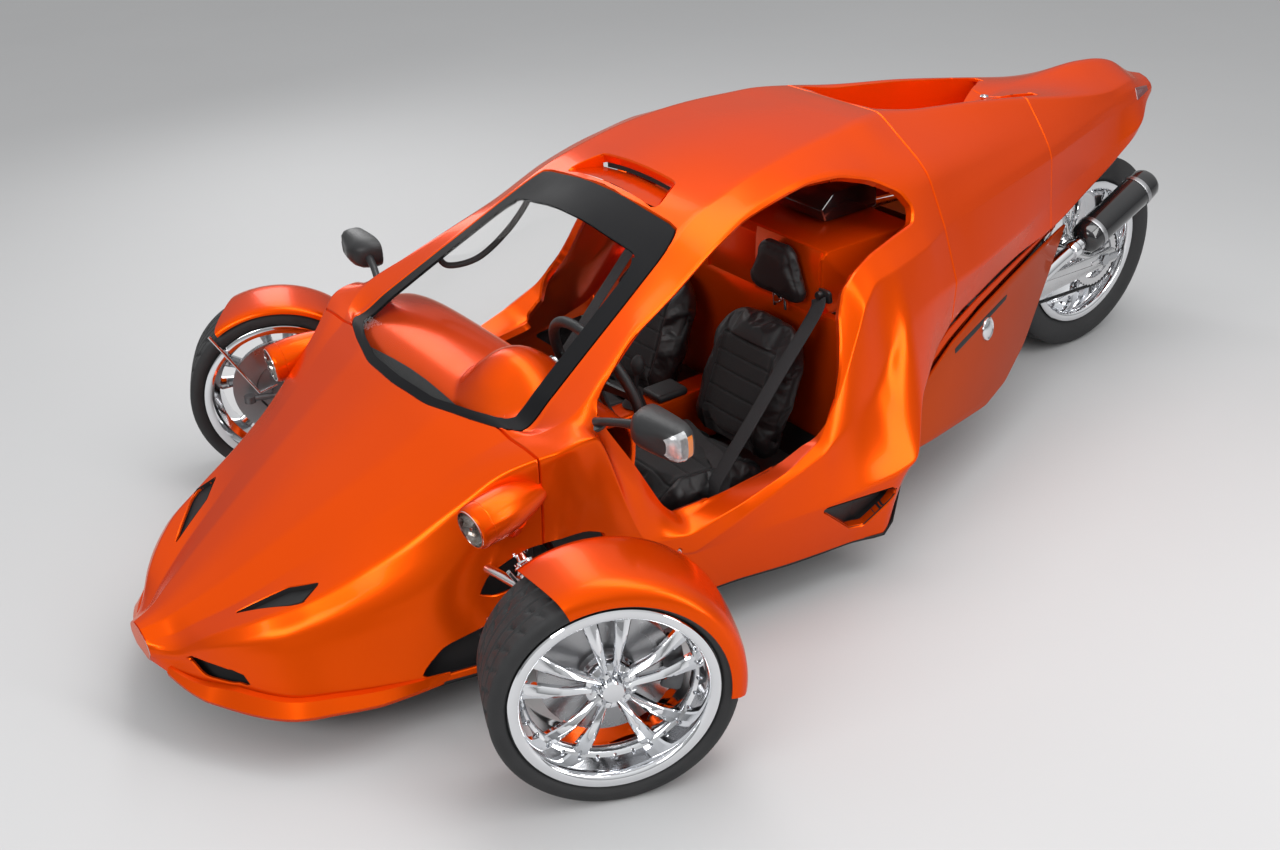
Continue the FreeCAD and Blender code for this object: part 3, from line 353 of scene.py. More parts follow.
def make(name, part, finish, body="chassis", node=None, slot=None, smooth=35.0):
    """Mesh object from vertices and faces, merged, with its faces turned outwards by their order, smooth but
    for edges sharper than `smooth` degrees; it rides on its body and may stand for CAD nodes."""
    verts, faces = np.asarray(part[0], float), part[1]
    if isinstance(faces, np.ndarray):
        used = np.unique(faces)
        index = np.full(len(verts), -1)
        index[used] = np.arange(len(used))
        verts, faces = verts[used], index[faces].tolist()
    mesh = bpy.data.meshes.new(name)
    mesh.from_pydata(verts.tolist(), [], faces)
    mesh.validate()
    obj = bpy.data.objects.new(name, mesh)
    bpy.context.scene.collection.objects.link(obj)
    mesh.materials.append(MATERIALS[finish])
    finish_mesh(obj, smooth)
    if body:
        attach(obj, body)
    if node:
        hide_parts(*(node if isinstance(node, tuple) else (node,)))
    slot = slot or SLOTS.get(finish)
    return obj


def finish_mesh(obj, smooth=35.0, merge=2e-5, turn=False):
    """Merge doubles, turn the faces of a closed mesh outwards, and shade smooth up to the angle."""
    bm = bmesh.new()
    bm.from_mesh(obj.data)
    bmesh.ops.remove_doubles(bm, verts=bm.verts, dist=merge)
    if turn or all(len(e.link_faces) == 2 for e in bm.edges):
        bmesh.ops.recalc_face_normals(bm, faces=bm.faces)
    bm.normal_update()
    limit = math.radians(smooth)
    for f in bm.faces:
        f.smooth = True
    for e in bm.edges:
        if len(e.link_faces) == 2:
            e.smooth = e.calc_face_angle(.0) < limit
    bm.to_mesh(obj.data)
    bm.free()
    obj.data.update()


def join(*parts):
    """Vertices and faces of several (verts, faces) parts as one."""
    verts, faces, n = [], [], 0
    for v, f in parts:
        v = np.asarray(v, float)
        verts.append(v)
        faces += [[int(i) + n for i in face] for face in f]
        n += len(v)
    return np.concatenate(verts), faces


def wrap(p, around=True, caps=False):
    """Closed tube over a grid of rings (rings, points, 3), its rings joined in turn; caps close its ends."""
    r, c = p.shape[:2]
    n = np.arange(r * c).reshape(r, c)
    nxt = np.roll(n, -1, axis=1) if around else n
    if around:
        quads = np.stack([n[:-1], n[1:], nxt[1:], nxt[:-1]], axis=-1).reshape(-1, 4)
    else:
        quads = np.stack([n[:-1, :-1], n[1:, :-1], n[1:, 1:], n[:-1, 1:]], axis=-1).reshape(-1, 4)
    ends = [n[0].tolist(), n[-1, ::-1].tolist()] if caps else []
    return p.reshape(-1, 3), quads.tolist() + ends


def lathe(profile, centre, axis, segments=96):
    """Profile of pairs (along, radius) turned about the axis through the centre. Rings follow the
    circle radius * (cos, sin); a profile that returns to its start closes the solid."""
    axis = unit(np.array(axis, float))
    ref = np.array((.0, .0, 1.0)) if abs(axis[2]) < .9 else np.array((.0, 1.0, .0))
    u = unit(np.cross(ref, axis))
    w = np.cross(axis, u)
    t = np.linspace(0, 2 * np.pi, segments, endpoint=False)
    prof = np.array(profile, float)
    ring = np.cos(t)[None, :, None] * u + np.sin(t)[None, :, None] * w
    return wrap(np.array(centre, float) + prof[:, 0, None, None] * axis + prof[:, 1, None, None] * ring)


def tube(points, radius, sides=16, closed=False, smooth=0):
    """Round tube along a path: a ring at each point, square to the path, carried along without twist.
    `smooth` points are put between the given ones on a Catmull-Rom curve."""
    p = np.array(points, float)
    if smooth and len(p) > 2:
        p = curve_through(p, smooth, closed)
    n = len(p)
    d = unit(np.roll(p, -1, axis=0) - np.roll(p, 1, axis=0)) if closed else unit(np.gradient(p, axis=0))
    r = np.atleast_1d(radius)
    rad = np.interp(np.linspace(0, 1, n), np.linspace(0, 1, len(r)), r)
    u = np.zeros_like(p)
    ref = np.array((.0, .0, 1.0)) if abs(d[0][2]) < .9 else np.array((1.0, .0, .0))
    cur = unit(np.cross(d[0], ref))
    for i in range(n):
        cur = unit(cur - d[i] * np.dot(cur, d[i]))
        u[i] = cur
    w = np.cross(d, u)
    t = np.linspace(0, 2 * np.pi, sides, endpoint=False)
    ring = np.cos(t)[None, :, None] * u[:, None] + np.sin(t)[None, :, None] * w[:, None]
    rings = p[:, None] + rad[:, None, None] * ring
    if closed:
        rings = np.concatenate([rings, rings[:1]])
    return wrap(rings, caps=not closed)


def curve_through(p, n, closed=False):
    """Catmull-Rom curve through the points, n steps a span."""
    p = np.asarray(p, float)
    if closed:
        q = np.concatenate([p[-1:], p, p[:2]])
    else:
        q = np.concatenate([2 * p[:1] - p[1:2], p, 2 * p[-1:] - p[-2:-1]])
    t = np.linspace(0, 1, n, endpoint=False)[:, None]
    out = []
    for i in range(1, len(q) - 2):
        a, b, c, d = q[i - 1], q[i], q[i + 1], q[i + 2]
        out.append(.5 * (2 * b + (c - a) * t + (2 * a - 5 * b + 4 * c - d) * t**2 + (3 * b - a - 3 * c + d) * t**3))
    if not closed:
        out.append(p[-1:])
    return np.concatenate(out)


def rounded_box(lo, hi, r, n=4):
    """Box with all its edges rounded by r: a sphere's grid whose eight octants are pulled apart to the
    corners, so each point is the corner's centre plus r times its direction."""
    lo, hi = np.array(lo, float), np.array(hi, float)
    r = min(r, *((hi - lo) / 2.001))
    a = np.concatenate([np.linspace(-90, 0, n + 1), np.linspace(0, 90, n + 1)])
    b = np.concatenate([np.linspace(q, q + 90, n + 1) for q in (0, 90, 180, 270)])
    va, vb = np.radians(a)[:, None], np.radians(b)[None]
    d = np.stack([np.cos(va) * np.cos(vb), np.cos(va) * np.sin(vb), np.sin(va) + 0 * vb], axis=-1)
    turn = np.arange(len(b)) // (n + 1)
    sign = np.stack(np.broadcast_arrays(np.where(turn % 3 == 0, 1, -1), np.where(turn < 2, 1, -1),
                                        np.where(np.arange(len(a)) < n + 1, -1, 1)[:, None]), axis=-1)
    centre = np.where(sign > 0, hi - r, lo + r)
    return wrap(centre + d * r, caps=True)


def inside_out(part):
    """The part with its faces turned over."""
    return part[0], [face[::-1] for face in part[1]]


def flipped(part):
    """The part on the other side of the middle plane, its faces turned back outwards."""
    v, f = part
    v = np.asarray(v, float) * np.array((-1.0, 1.0, 1.0))
    return v, [list(face)[::-1] for face in f]


def on_side(part, side):
    """Part as given for the left side, or its mirror image for the right."""
    return flipped(part) if side == "right" else part


def at(x, y, z):
    """Point, or points from arrays, whose y is counted from the front axle."""
    return np.stack(np.broadcast_arrays(x, y + FRONT, z), axis=-1)


# ---- materials ---------------------------------------------------------------------------------

MATERIALS = {}
# Slot named for a piece of this finish, where it names no other; make looks it up but does not use it.
SLOTS = {
    "candy_paint": "body_paint",
    "carpet": "trim_black",
    "chrome": "spring_chrome",
    "chrome_dark": "wheel_chrome",
    "cloth": "soft_black",
    "cover_paint": "cover_orange",
    "engine_grey": "engine_grey",
    "frame_black": "frame_black",
    "frit_black": "trim_black",
    "gloss_black": "trim_black",
    "lamp_glass": "lamp_glass",
    "leather": "soft_black",
    "lens_amber": "lamp_glass",
    "lens_pale": "lamp_glass",
    "lens_red": "lamp_red",
    "liner_and_shade_black": "trim_black",
    "mirror_silver": "spring_chrome",
    "polished": "polished_alloy",
    "reflector": "lamp_glass",
    "rubber": "grip_black",
    "screen_glass": "clear_glass",
    "steel": "polished_steel",
    "trim_black": "trim_black",
    "webbing": "soft_black",
}


def node_group(name, inputs, outputs):
    """New shader node group with float, colour or vector sockets and its two end nodes."""
    g = bpy.data.node_groups.new(name, "ShaderNodeTree")
    for label, kind, value in inputs:
        s = g.interface.new_socket(label, in_out="INPUT", socket_type=kind)
        s.default_value = value
    for label, kind in outputs:
        g.interface.new_socket(label, in_out="OUTPUT", socket_type=kind)
    return g, g.nodes.new("NodeGroupInput"), g.nodes.new("NodeGroupOutput")


def add(tree, kind, feeds=(), **values):
    """Node of a kind in a tree: values set its properties or its sockets by name, and feeds give a socket
    its source or its constant."""
    n = tree.nodes.new(kind)
    for key, value in values.items():
        if hasattr(n, key):
            setattr(n, key, value)
        else:
            n.inputs[key.replace("_", " ")].default_value = value
    for socket, source in feeds:
        if isinstance(source, bpy.types.NodeSocket):
            tree.links.new(source, n.inputs[socket])
        else:
            n.inputs[socket].default_value = source
    return n


def soft_variation():
    """Two colours mixed by slow noise, and the same noise as a value, in object coordinates."""
    g, i, o = node_group(
        "soft_variation",
        (("First", "NodeSocketColor", (1, 1, 1, 1)), ("Second", "NodeSocketColor", (0, 0, 0, 1)),
         ("Scale", "NodeSocketFloat", 3.0)),
        (("Colour", "NodeSocketColor"), ("Value", "NodeSocketFloat")),
    )
    place = add(g, "ShaderNodeTexCoord").outputs["Object"]
    noise = add(g, "ShaderNodeTexNoise", [("Vector", place), ("Scale", i.outputs["Scale"])], Detail=5.0, Roughness=.55)
    spread = add(g, "ShaderNodeMapRange", [("Value", noise.outputs["Fac"])], From_Min=.35, From_Max=.65).outputs[0]
    mix = add(g, "ShaderNodeMix", [(0, spread), (6, i.outputs["First"]), (7, i.outputs["Second"])], data_type="RGBA")
    g.links.new(mix.outputs[2], o.inputs["Colour"])
    g.links.new(spread, o.inputs["Value"])


def relief_group(name, size, start, distance, height):
    """Node group of a fine relief: `height` gives its height socket, which feeds a bump of that distance."""
    kind = "NodeSocketVector" if isinstance(start, tuple) else "NodeSocketFloat"
    g, i, o = node_group(
        name, ((size, kind, start), ("Height", "NodeSocketFloat", .1)),
        (("Value", "NodeSocketFloat"), ("Normal", "NodeSocketVector")),
    )
    place = add(g, "ShaderNodeTexCoord").outputs["Object"]
    high = height(g, place, i.outputs[size])
    bump = add(g, "ShaderNodeBump", [("Height", high), ("Strength", i.outputs["Height"])], Distance=distance)
    g.links.new(high, o.inputs["Value"])
    g.links.new(bump.outputs[0], o.inputs["Normal"])


def grain_height(tree, place, scale):
    """Fine noise, for moulded, cast or sprayed surfaces."""
    return add(tree, "ShaderNodeTexNoise", [("Vector", place), ("Scale", scale)], Detail=3.0).outputs["Fac"]


def line_height(tree, place, stretch):
    """Noise drawn out along one axis, as brushing leaves it."""
    size = add(tree, "ShaderNodeVectorMath", [(0, place), (1, stretch)], operation="MULTIPLY")
    return add(tree, "ShaderNodeTexNoise", [("Vector", size.outputs[0])], Scale=1.0, Detail=4.0).outputs["Fac"]


def weave_height(tree, place, scale):
    """Two crossed wave patterns as a cloth's threads."""
    waves = [add(tree, "ShaderNodeTexWave", [("Vector", place), ("Scale", scale)], bands_direction=d, Distortion=.6)
             for d in "XZ"]
    return add(tree, "ShaderNodeMath", [(k, w.outputs["Fac"]) for k, w in enumerate(waves)],
               operation="MAXIMUM").outputs[0]


def grouped(tree, group, **values):
    """Node of a shared group with its sockets set."""
    n = tree.nodes.new("ShaderNodeGroup")
    n.node_tree = bpy.data.node_groups[group]
    for key, value in values.items():
        n.inputs[key].default_value = value
    return n


def surface(name, first, second, rough, scale=4.0, grain=None, **sockets):
    """Principled material whose colour and roughness vary slowly between two values, with a grain bump
    given as (scale, height); other sockets of the shader are set by name."""
    m = bpy.data.materials.new(name)
    m.use_nodes = True
    t = m.node_tree
    t.nodes.clear()
    out = t.nodes.new("ShaderNodeOutputMaterial")
    s = t.nodes.new("ShaderNodeBsdfPrincipled")
    t.links.new(s.outputs[0], out.inputs[0])
    v = grouped(t, "soft_variation", First=(*first, 1), Second=(*second, 1), Scale=scale)
    t.links.new(v.outputs["Colour"], s.inputs["Base Color"])
    r = add(t, "ShaderNodeMapRange", [("Value", v.outputs["Value"])], To_Min=rough[0], To_Max=rough[1])
    t.links.new(r.outputs[0], s.inputs["Roughness"])
    if grain:
        t.links.new(grouped(t, "fine_grain", Scale=grain[0], Height=grain[1]).outputs["Normal"], s.inputs["Normal"])
    for key, value in sockets.items():
        s.inputs[key.replace("_", " ")].default_value = value
    m.diffuse_color = (*first, 1)
    MATERIALS[name] = m
    return t, s, v, out


def pattern(name, group, **values):
    """Put a pattern group's normal on a material in place of its grain."""
    t = MATERIALS[name].node_tree
    s = t.nodes["Principled BSDF"]
    t.links.new(grouped(t, group, **values).outputs["Normal"], s.inputs["Normal"])


def candy(name, face, edge, deep, rough):
    """Tinted lacquer over bright metal: the colour deepens where the surface turns away from the eye, partly as
    the lacquer's own depth and partly as painted shade, and a clear coat lies on top."""
    t, s, v, _ = surface(
        name, face, deep, rough, scale=1.3, grain=(2600.0, .02), Metallic=.5, Coat_Weight=.24, Coat_Roughness=.03,
        Coat_IOR=1.2, Specular_Tint=(1.0, .46, .06, 1.0))
    # Painted shade in part: the edge colour darkens faces seen at a slant, over the lacquer's own deepening.
    turn = add(t, "ShaderNodeLayerWeight", Blend=.42)
    mix = add(t, "ShaderNodeMix", [(0, turn.outputs["Facing"]), (6, v.outputs["Colour"]), (7, (*edge, 1))],
              data_type="RGBA")
    t.links.new(mix.outputs[2], s.inputs["Base Color"])


def clear(name, tint, share, rough=.02):
    """Clear sheet: mostly see-through, with a surface reflection that grows at shallow angles."""
    dark = tuple(c * .03 for c in tint)
    t, s, _, out = surface(name, dark, tuple(c * .8 for c in dark), (rough, rough * 2))
    seen = add(t, "ShaderNodeBsdfTransparent", Color=(*[.9 + .1 * c for c in tint], 1))
    turn = add(t, "ShaderNodeLayerWeight", Blend=.5)
    steep = add(t, "ShaderNodeMath", [(0, turn.outputs["Facing"]), (1, 4.0)], operation="POWER")
    inside = add(t, "ShaderNodeNewGeometry")
    face = add(t, "ShaderNodeMapRange", [("Value", inside.outputs["Backfacing"])], To_Min=1.0, To_Max=.0)
    glare = add(t, "ShaderNodeMath", [(0, steep.outputs[0]), (1, .5), (2, share)], operation="MULTIPLY_ADD")
    cover = add(t, "ShaderNodeMath", [(0, glare.outputs[0]), (1, face.outputs[0])], operation="MULTIPLY")
    mix = add(t, "ShaderNodeMixShader", [(0, cover.outputs[0]), (1, seen.outputs[0]), (2, s.outputs[0])])
    t.links.new(mix.outputs[0], out.inputs[0])


def build_materials():
    """Every material of the car and the studio."""
    soft_variation()
    relief_group("fine_grain", "Scale", 400.0, .001, grain_height)
    relief_group("drawn_lines", "Stretch", (4.0, 4.0, 400.0), .0004, line_height)
    relief_group("weave", "Scale", 300.0, .0008, weave_height)
    # The second colour of each candy is its edge colour, partly painted shade.
    candy("candy_paint", (.90, .084, .0006), (.62, .034, .0002), (.86, .076, .0005), (.20, .27))
    candy("cover_paint", (.60, .070, .004), (.36, .030, .001), (.56, .062, .0035), (.42, .50))
    # Black of the nose liner and the cover slots, and painted shade in the intakes, vents and the scoop's slot.
    surface("liner_and_shade_black", (.006, .006, .007), (.012, .012, .013), (.55, .75), grain=(900, .15))
    surface("trim_black", (.010, .010, .011), (.018, .018, .019), (.32, .46), grain=(1200, .25))
    surface("gloss_black", (.008, .008, .009), (.014, .014, .015), (.06, .12), Coat_Weight=.6)
    surface("frit_black", (.003, .003, .004), (.006, .006, .007), (.5, .6), Specular_IOR_Level=.12)
    surface("frame_black", (.02, .02, .021), (.035, .034, .034), (.28, .42), grain=(500, .1))
    surface("rubber", (.012, .012, .013), (.022, .022, .023), (.5, .68), scale=12, grain=(700, .2))
    surface("tread_rubber", (.014, .014, .015), (.026, .026, .027), (.58, .78), scale=20, grain=(500, .35))
    surface("leather", (.008, .008, .009), (.014, .014, .015), (.36, .52), scale=9, grain=(1500, .3))
    surface("cloth", (.006, .006, .0065), (.013, .013, .014), (.75, .9), scale=14, Sheen_Weight=.1)
    pattern("cloth", "weave", Scale=520.0, Height=.35)
    surface("webbing", (.012, .012, .014), (.022, .022, .024), (.5, .65), scale=30)
    pattern("webbing", "weave", Scale=900.0, Height=.5)
    surface("carpet", (.010, .010, .011), (.022, .022, .023), (.85, 1.0), scale=60, grain=(1600, .8))
    surface("chrome", (.86, .87, .89), (.80, .81, .83), (.03, .07), Metallic=1.0)
    surface("chrome_dark", (.55, .56, .58), (.45, .46, .48), (.08, .16), Metallic=1.0)
    surface("polished", (.78, .78, .79), (.68, .68, .69), (.12, .24), Metallic=1.0)
    pattern("polished", "drawn_lines", Stretch=(500.0, 6.0, 500.0), Height=.12)
    surface("steel", (.45, .45, .46), (.36, .36, .37), (.28, .4), Metallic=1.0, grain=(400, .1))
    surface("disc_steel", (.50, .50, .51), (.38, .38, .39), (.22, .38), Metallic=1.0)
    pattern("disc_steel", "drawn_lines", Stretch=(30.0, 900.0, 900.0), Height=.15)
    surface("cast", (.20, .20, .205), (.13, .13, .135), (.45, .6), Metallic=.85, scale=9, grain=(350, .5))
    surface("engine_grey", (.11, .11, .115), (.065, .065, .068), (.4, .55), Metallic=.6, scale=7, grain=(300, .5))
    surface("lens_red", (.20, .004, .004), (.14, .003, .003), (.08, .14), Coat_Weight=1.0)
    surface("lens_amber", (.75, .20, .01), (.60, .15, .008), (.1, .2), Coat_Weight=1.0)
    surface("lens_pale", (.62, .63, .64), (.40, .41, .42), (.1, .25), scale=60, grain=(260, .9), Metallic=.4,
            Coat_Weight=1.0)
    surface("mirror_silver", (.85, .86, .88), (.80, .81, .83), (.015, .03), Metallic=1.0)
    surface("reflector", (.42, .40, .38), (.16, .13, .11), (.08, .2), scale=50, Metallic=1.0)
    clear("screen_glass", (.92, .95, .94), .012)
    clear("lamp_glass", (.95, .95, .95), .05)
    surface("studio_floor", (.60, .60, .603), (.585, .585, .588), (.5, .62), scale=.5)


# ---- stage -------------------------------------------------------------------------------------

def build_stage(floor_tone, lamp_power):
    """Pale studio: a floor that fills the view, with painted shade that darkens it towards the far side, and soft boxes
    above, with the camera at the photo's place.
    """
    t = MATERIALS["studio_floor"].node_tree
    s = t.nodes["Principled BSDF"]
    place = add(t, "ShaderNodeTexCoord")
    part = add(t, "ShaderNodeSeparateXYZ", [(0, place.outputs["Object"])])
    along = add(t, "ShaderNodeMath", [(0, part.outputs[0]), (1, part.outputs[1])], operation="SUBTRACT")
    # Painted shade: the floor's colour darkens towards the side away from the camera, down to .86 of its tone.
    painted_falloff = add(t, "ShaderNodeMapRange", [("Value", along.outputs[0])], From_Min=-9.0, From_Max=4.0,
               To_Min=floor_tone * .86, To_Max=floor_tone)
    slow = t.nodes["Group"].outputs["Colour"]
    tone = add(t, "ShaderNodeMix", [(0, 1.0), (6, slow), (7, painted_falloff.outputs[0])], data_type="RGBA", blend_type="MULTIPLY")
    t.links.new(tone.outputs[2], s.inputs["Base Color"])
    s.inputs["Specular IOR Level"].default_value = .2
    x, y = np.meshgrid(*[np.linspace(-30, 30, 25)] * 2, indexing="ij")
    make("studio_floor", wrap(np.stack([x, y, 0 * x - .0005], axis=-1), around=False), "studio_floor",
                  body=None)

    scene = bpy.context.scene
    world = bpy.data.worlds.new("studio_air")
    scene.world = world
    world.use_nodes = True
    w = world.node_tree
    w.nodes.clear()
    out = w.nodes.new("ShaderNodeOutputWorld")
    place = add(w, "ShaderNodeTexCoord")
    part = add(w, "ShaderNodeSeparateXYZ", [(0, place.outputs["Generated"])])
    high = add(w, "ShaderNodeMapRange", [("Value", part.outputs[2])], From_Min=-.05, From_Max=.9, To_Min=.20,
               To_Max=.88)
    back = add(w, "ShaderNodeBackground", [("Strength", high.outputs[0])], Color=(.98, .99, 1.0, 1))
    w.links.new(back.outputs[0], out.inputs[0])

    for name, spot, aim, size, power in (
        ("overhead_box", (.6, .2, 3.6), (.1, .1, .4), (1.3, 4.4), .30),
        ("side_box", (4.2, 1.2, 2.2), (.3, .3, .4), (.9, 3.4), .24),
        ("front_box", (1.6, -4.4, 2.6), (.0, -.6, .3), (2.6, 1.0), .24),
        ("far_box", (-3.2, .2, 2.8), (.0, .1, .5), (1.0, 3.6), .14),
    ):
        data = bpy.data.lights.new(name, "AREA")
        data.shape = "RECTANGLE"
        data.size, data.size_y = size
        data.energy = lamp_power * power
        lamp = bpy.data.objects.new(name, data)
        scene.collection.objects.link(lamp)
        lamp.location = spot
        run = Vector(aim) - Vector(spot)
        lamp.rotation_euler = run.to_track_quat("-Z", "Y").to_euler()

    az, el, roll = (math.radians(angle) for angle in CAMERA_ANGLES)
    back = Vector((math.sin(az) * math.cos(el), -math.cos(az) * math.cos(el), math.sin(el)))
    right = Vector((0, 0, 1)).cross(back).normalized()
    up = back.cross(right)
    r = right * math.cos(roll) + up * math.sin(roll)
    u = up * math.cos(roll) - right * math.sin(roll)
    data = bpy.data.cameras.new("photo_view")
    data.sensor_width, data.sensor_fit = SENSOR_WIDTH, "HORIZONTAL"
    data.lens = FOCAL_PIXELS / PHOTO_WIDTH * SENSOR_WIDTH
    data.clip_end = 100.0
    cam = bpy.data.objects.new("photo_view", data)
    scene.collection.objects.link(cam)
    m = Matrix((r, u, back)).transposed().to_4x4()
    m.translation = Vector(at(*CAMERA_PLACE))
    cam.matrix_world = m
    scene.camera = cam
    scene.view_settings.view_transform = "Standard"
    scene.view_settings.look = "None"
    scene.view_settings.exposure = .0
    scene.view_settings.gamma = 1.0


# ---- bodywork ----------------------------------------------------------------------------------

def steps(a, b, step):
    """Even steps from a to b, no longer than the step."""
    return np.linspace(a, b, max(2, int(math.ceil((b - a) / step)) + 1))


def plan_distance(p, outline):
    """Signed distance of grid points to a closed outline in plan (x, y), y from the front axle."""
    return distance(p[..., 0], p[..., 1] - FRONT, outline)


def side_distance(p, outline, tilt=.0):
    """Signed distance to an outline in side view (y, z); a tilt looks up along the line of sight."""
    z = p[..., 2] + tilt * (DOOR_PLANE - np.abs(p[..., 0]))
    return distance(p[..., 1] - FRONT, z, outline)


def build_nose(step):
    """Nose panel: the body grid from the tip to the seam, with the hood vents, the chin intakes, the
    suspension slots and the front of the windscreen cut out, and a closing cap at the tip."""
    p = body_grid(np.concatenate([steps(-.740, -.64, .004)[:-1], steps(-.64, .0594, step)]), low=8)
    screen = smooth_outline(mirrored_outline(SCREEN))
    s = plan_distance(p, screen)
    top = p[..., 2] > .23
    vents = [sharp_outline(HOOD_VENT), sharp_outline([(-x, y) for x, y in reversed(HOOD_VENT)])]
    for line in vents:
        s = np.minimum(s, np.where(top, plan_distance(p, line), 1.0))
    for line in (UPPER_SLOT, LOWER_SLOT):
        far = np.abs(p[..., 0]) > .36
        s = np.minimum(s, np.where(far, side_distance(p, smooth_outline(line)), 1.0))
    front = (p[..., 1] - FRONT < -.50) & (p[..., 2] < .26)
    chin = smooth_outline(NOSE_INTAKE)
    low = np.where(front, distance(np.abs(p[..., 0]), p[..., 2], chin), 1.0)
    s = np.minimum(s, low)
    q, keep = trimmed(p, s)
    tip = p[0]
    cap = np.stack([tip, tip * .5 + tip.mean(axis=0) * .5, tip * .02 + tip.mean(axis=0) * .98])
    make("nose_panel", shell(q, keep, .008), "candy_paint", node="nose")
    make("nose_tip", wrap(cap, around=True), "candy_paint")
    make("nose_liner", wrap(offset_grid(p[::3, ::2], .035)[2:], around=False), "liner_and_shade_black")


def offset_grid(p, d):
    """Grid moved inwards along its normals by d."""
    return p - normals(p) * d


def build_cabin(step):
    """Cabin shell: roof, pillars, flanks and sills in one skin with the side openings, the windscreen,
    the roof slot and the intakes cut out; its rim is as deep as the skin is thick."""
    p = body_grid(np.concatenate([steps(.060, .760, step)[:-1], steps(.760, 1.030, .005),
                                  steps(1.030, 1.420, step)[1:]]), low=14)
    s = plan_distance(p, smooth_outline(mirrored_outline(SCREEN)))
    s = np.where(p[..., 2] < .5, 1.0, s)
    door = smooth_outline(DOOR)
    s = np.minimum(s, side_distance(p, door, DOOR_TILT))
    s = np.minimum(s, np.where(p[..., 2] > .8, plan_distance(p, sharp_outline(mirrored_outline(ROOF_SCOOP))), 1.0))
    flank = np.abs(p[..., 0]) > .5
    s = np.minimum(s, np.where(flank, side_distance(p, sharp_outline(SIDE_INTAKE)), 1.0))
    for line in (UPPER_SLOT, LOWER_SLOT):
        s = np.minimum(s, np.where(flank & (p[..., 1] - FRONT < .3), side_distance(p, smooth_outline(line)), 1.0))
    q, keep = trimmed(p, s)
    make("cabin_panel", shell(q, keep, .024, lip=.005), "candy_paint", node="cabin_shell")


def build_rear(step):
    """Rear quarters and tail: two skins with the deck's well cut out, closed at the rear edge."""
    for name, lo, hi, node in (("quarter_panel", 1.4206, 2.060, "rear_quarters"), ("tail_panel", 2.0606, 2.811, "tail")):
        p = body_grid(steps(lo, hi, step))
        s = np.where(p[..., 2] > .8, plan_distance(p, sharp_outline(mirrored_outline(DECK_WELL))), 1.0)
        q, keep = trimmed(p, s)
        make(name, shell(q, keep, .010), "candy_paint", node=node)
        if name == "tail_panel":
            end = p[-1]
            cap = np.stack([end, end * .9 + end.mean(axis=0) * .1 + np.array((0, .004, 0)),
                            end * .02 + end.mean(axis=0) * .98 + np.array((0, .004, 0))])
            make("tail_end", wrap(cap[::-1], around=True), "candy_paint")


def build_screen(step):
    """Windscreen: clear sheet between the edges of its opening with a black printed band, deep at the
    top and narrow elsewhere, both on the body's own surface a little below the skin."""
    p = body_grid(steps(-.040, .68, step * .8))
    cols = slice(p.shape[1] // 2 - 42, p.shape[1] // 2 + 43)
    p = offset_grid(p, .002)[:, cols]
    outline = smooth_outline(mirrored_outline(SCREEN))
    s = plan_distance(p, outline)
    inner = smooth_outline(mirrored_outline(SCREEN_CLEAR))
    inside = plan_distance(p, inner)
    q, keep = trimmed(p, -s - .001)
    make("windscreen_glass", shell(q, keep, .005, lip=.001), "screen_glass", node="windscreen")
    band = np.minimum(-s - .001, inside)
    q, keep = trimmed(p + normals(p) * .0006, band)
    make("windscreen_band", (q.reshape(-1, 3), faces_of(keep)), "frit_black")
    q, keep = trimmed(p - normals(p) * .0062, band)
    make("windscreen_band_inside", (q.reshape(-1, 3), faces_of(keep)[:, ::-1]), "frit_black")


def build_underside():
    """Flat floor under the nose and cabin."""
    places = steps(-.70, 1.05, .03)
    rows = through(STATIONS, places)
    p = at(rows[:, :1] * np.linspace(-1, 1, 9), places[:, None], rows[:, 1:2] + .001)
    v, f = shell(p, np.ones((p.shape[0] - 1, 8), bool), -.006, nrm=np.broadcast_to(np.array((.0, .0, 1.0)), p.shape))
    make("belly_pan", (v, f[:, ::-1]), "trim_black")
    half = [(.498, .062), (.498, 1.020), (.400, 1.110), (.330, 1.388)]
    tray = prism(half + [(-x, y) for x, y in reversed(half)], (0, FRONT, .1152), (1, 0, 0), (0, 1, 0), .0296, .002)
    make("floor_tray", tray, "trim_black", node="floor_pan")


# ---- wheels, fenders and suspension ------------------------------------------------------------

KINGPIN = (.832, .010)
STANCE = math.radians(-23.5)
WHEEL_OUT, AXLE_Z = .056, .272


def placed(part, side):
    """Part of the left front corner, given from the wheel's centre (x outwards), at its place: mirrored
    for the right side, then turned about the kingpin into the stance at rest."""
    v, f = on_side((part[0] + np.array((KINGPIN[0] + WHEEL_OUT, KINGPIN[1], AXLE_Z)), part[1]), side)
    k = (KINGPIN[0] if side == "left" else -KINGPIN[0], KINGPIN[1])
    c, s = math.cos(STANCE), math.sin(STANCE)
    out = v.copy()
    out[:, 0] = k[0] + c * (v[:, 0] - k[0]) - s * (v[:, 1] - k[1])
    out[:, 1] = k[1] + s * (v[:, 0] - k[0]) + c * (v[:, 1] - k[1]) + FRONT
    return out, f


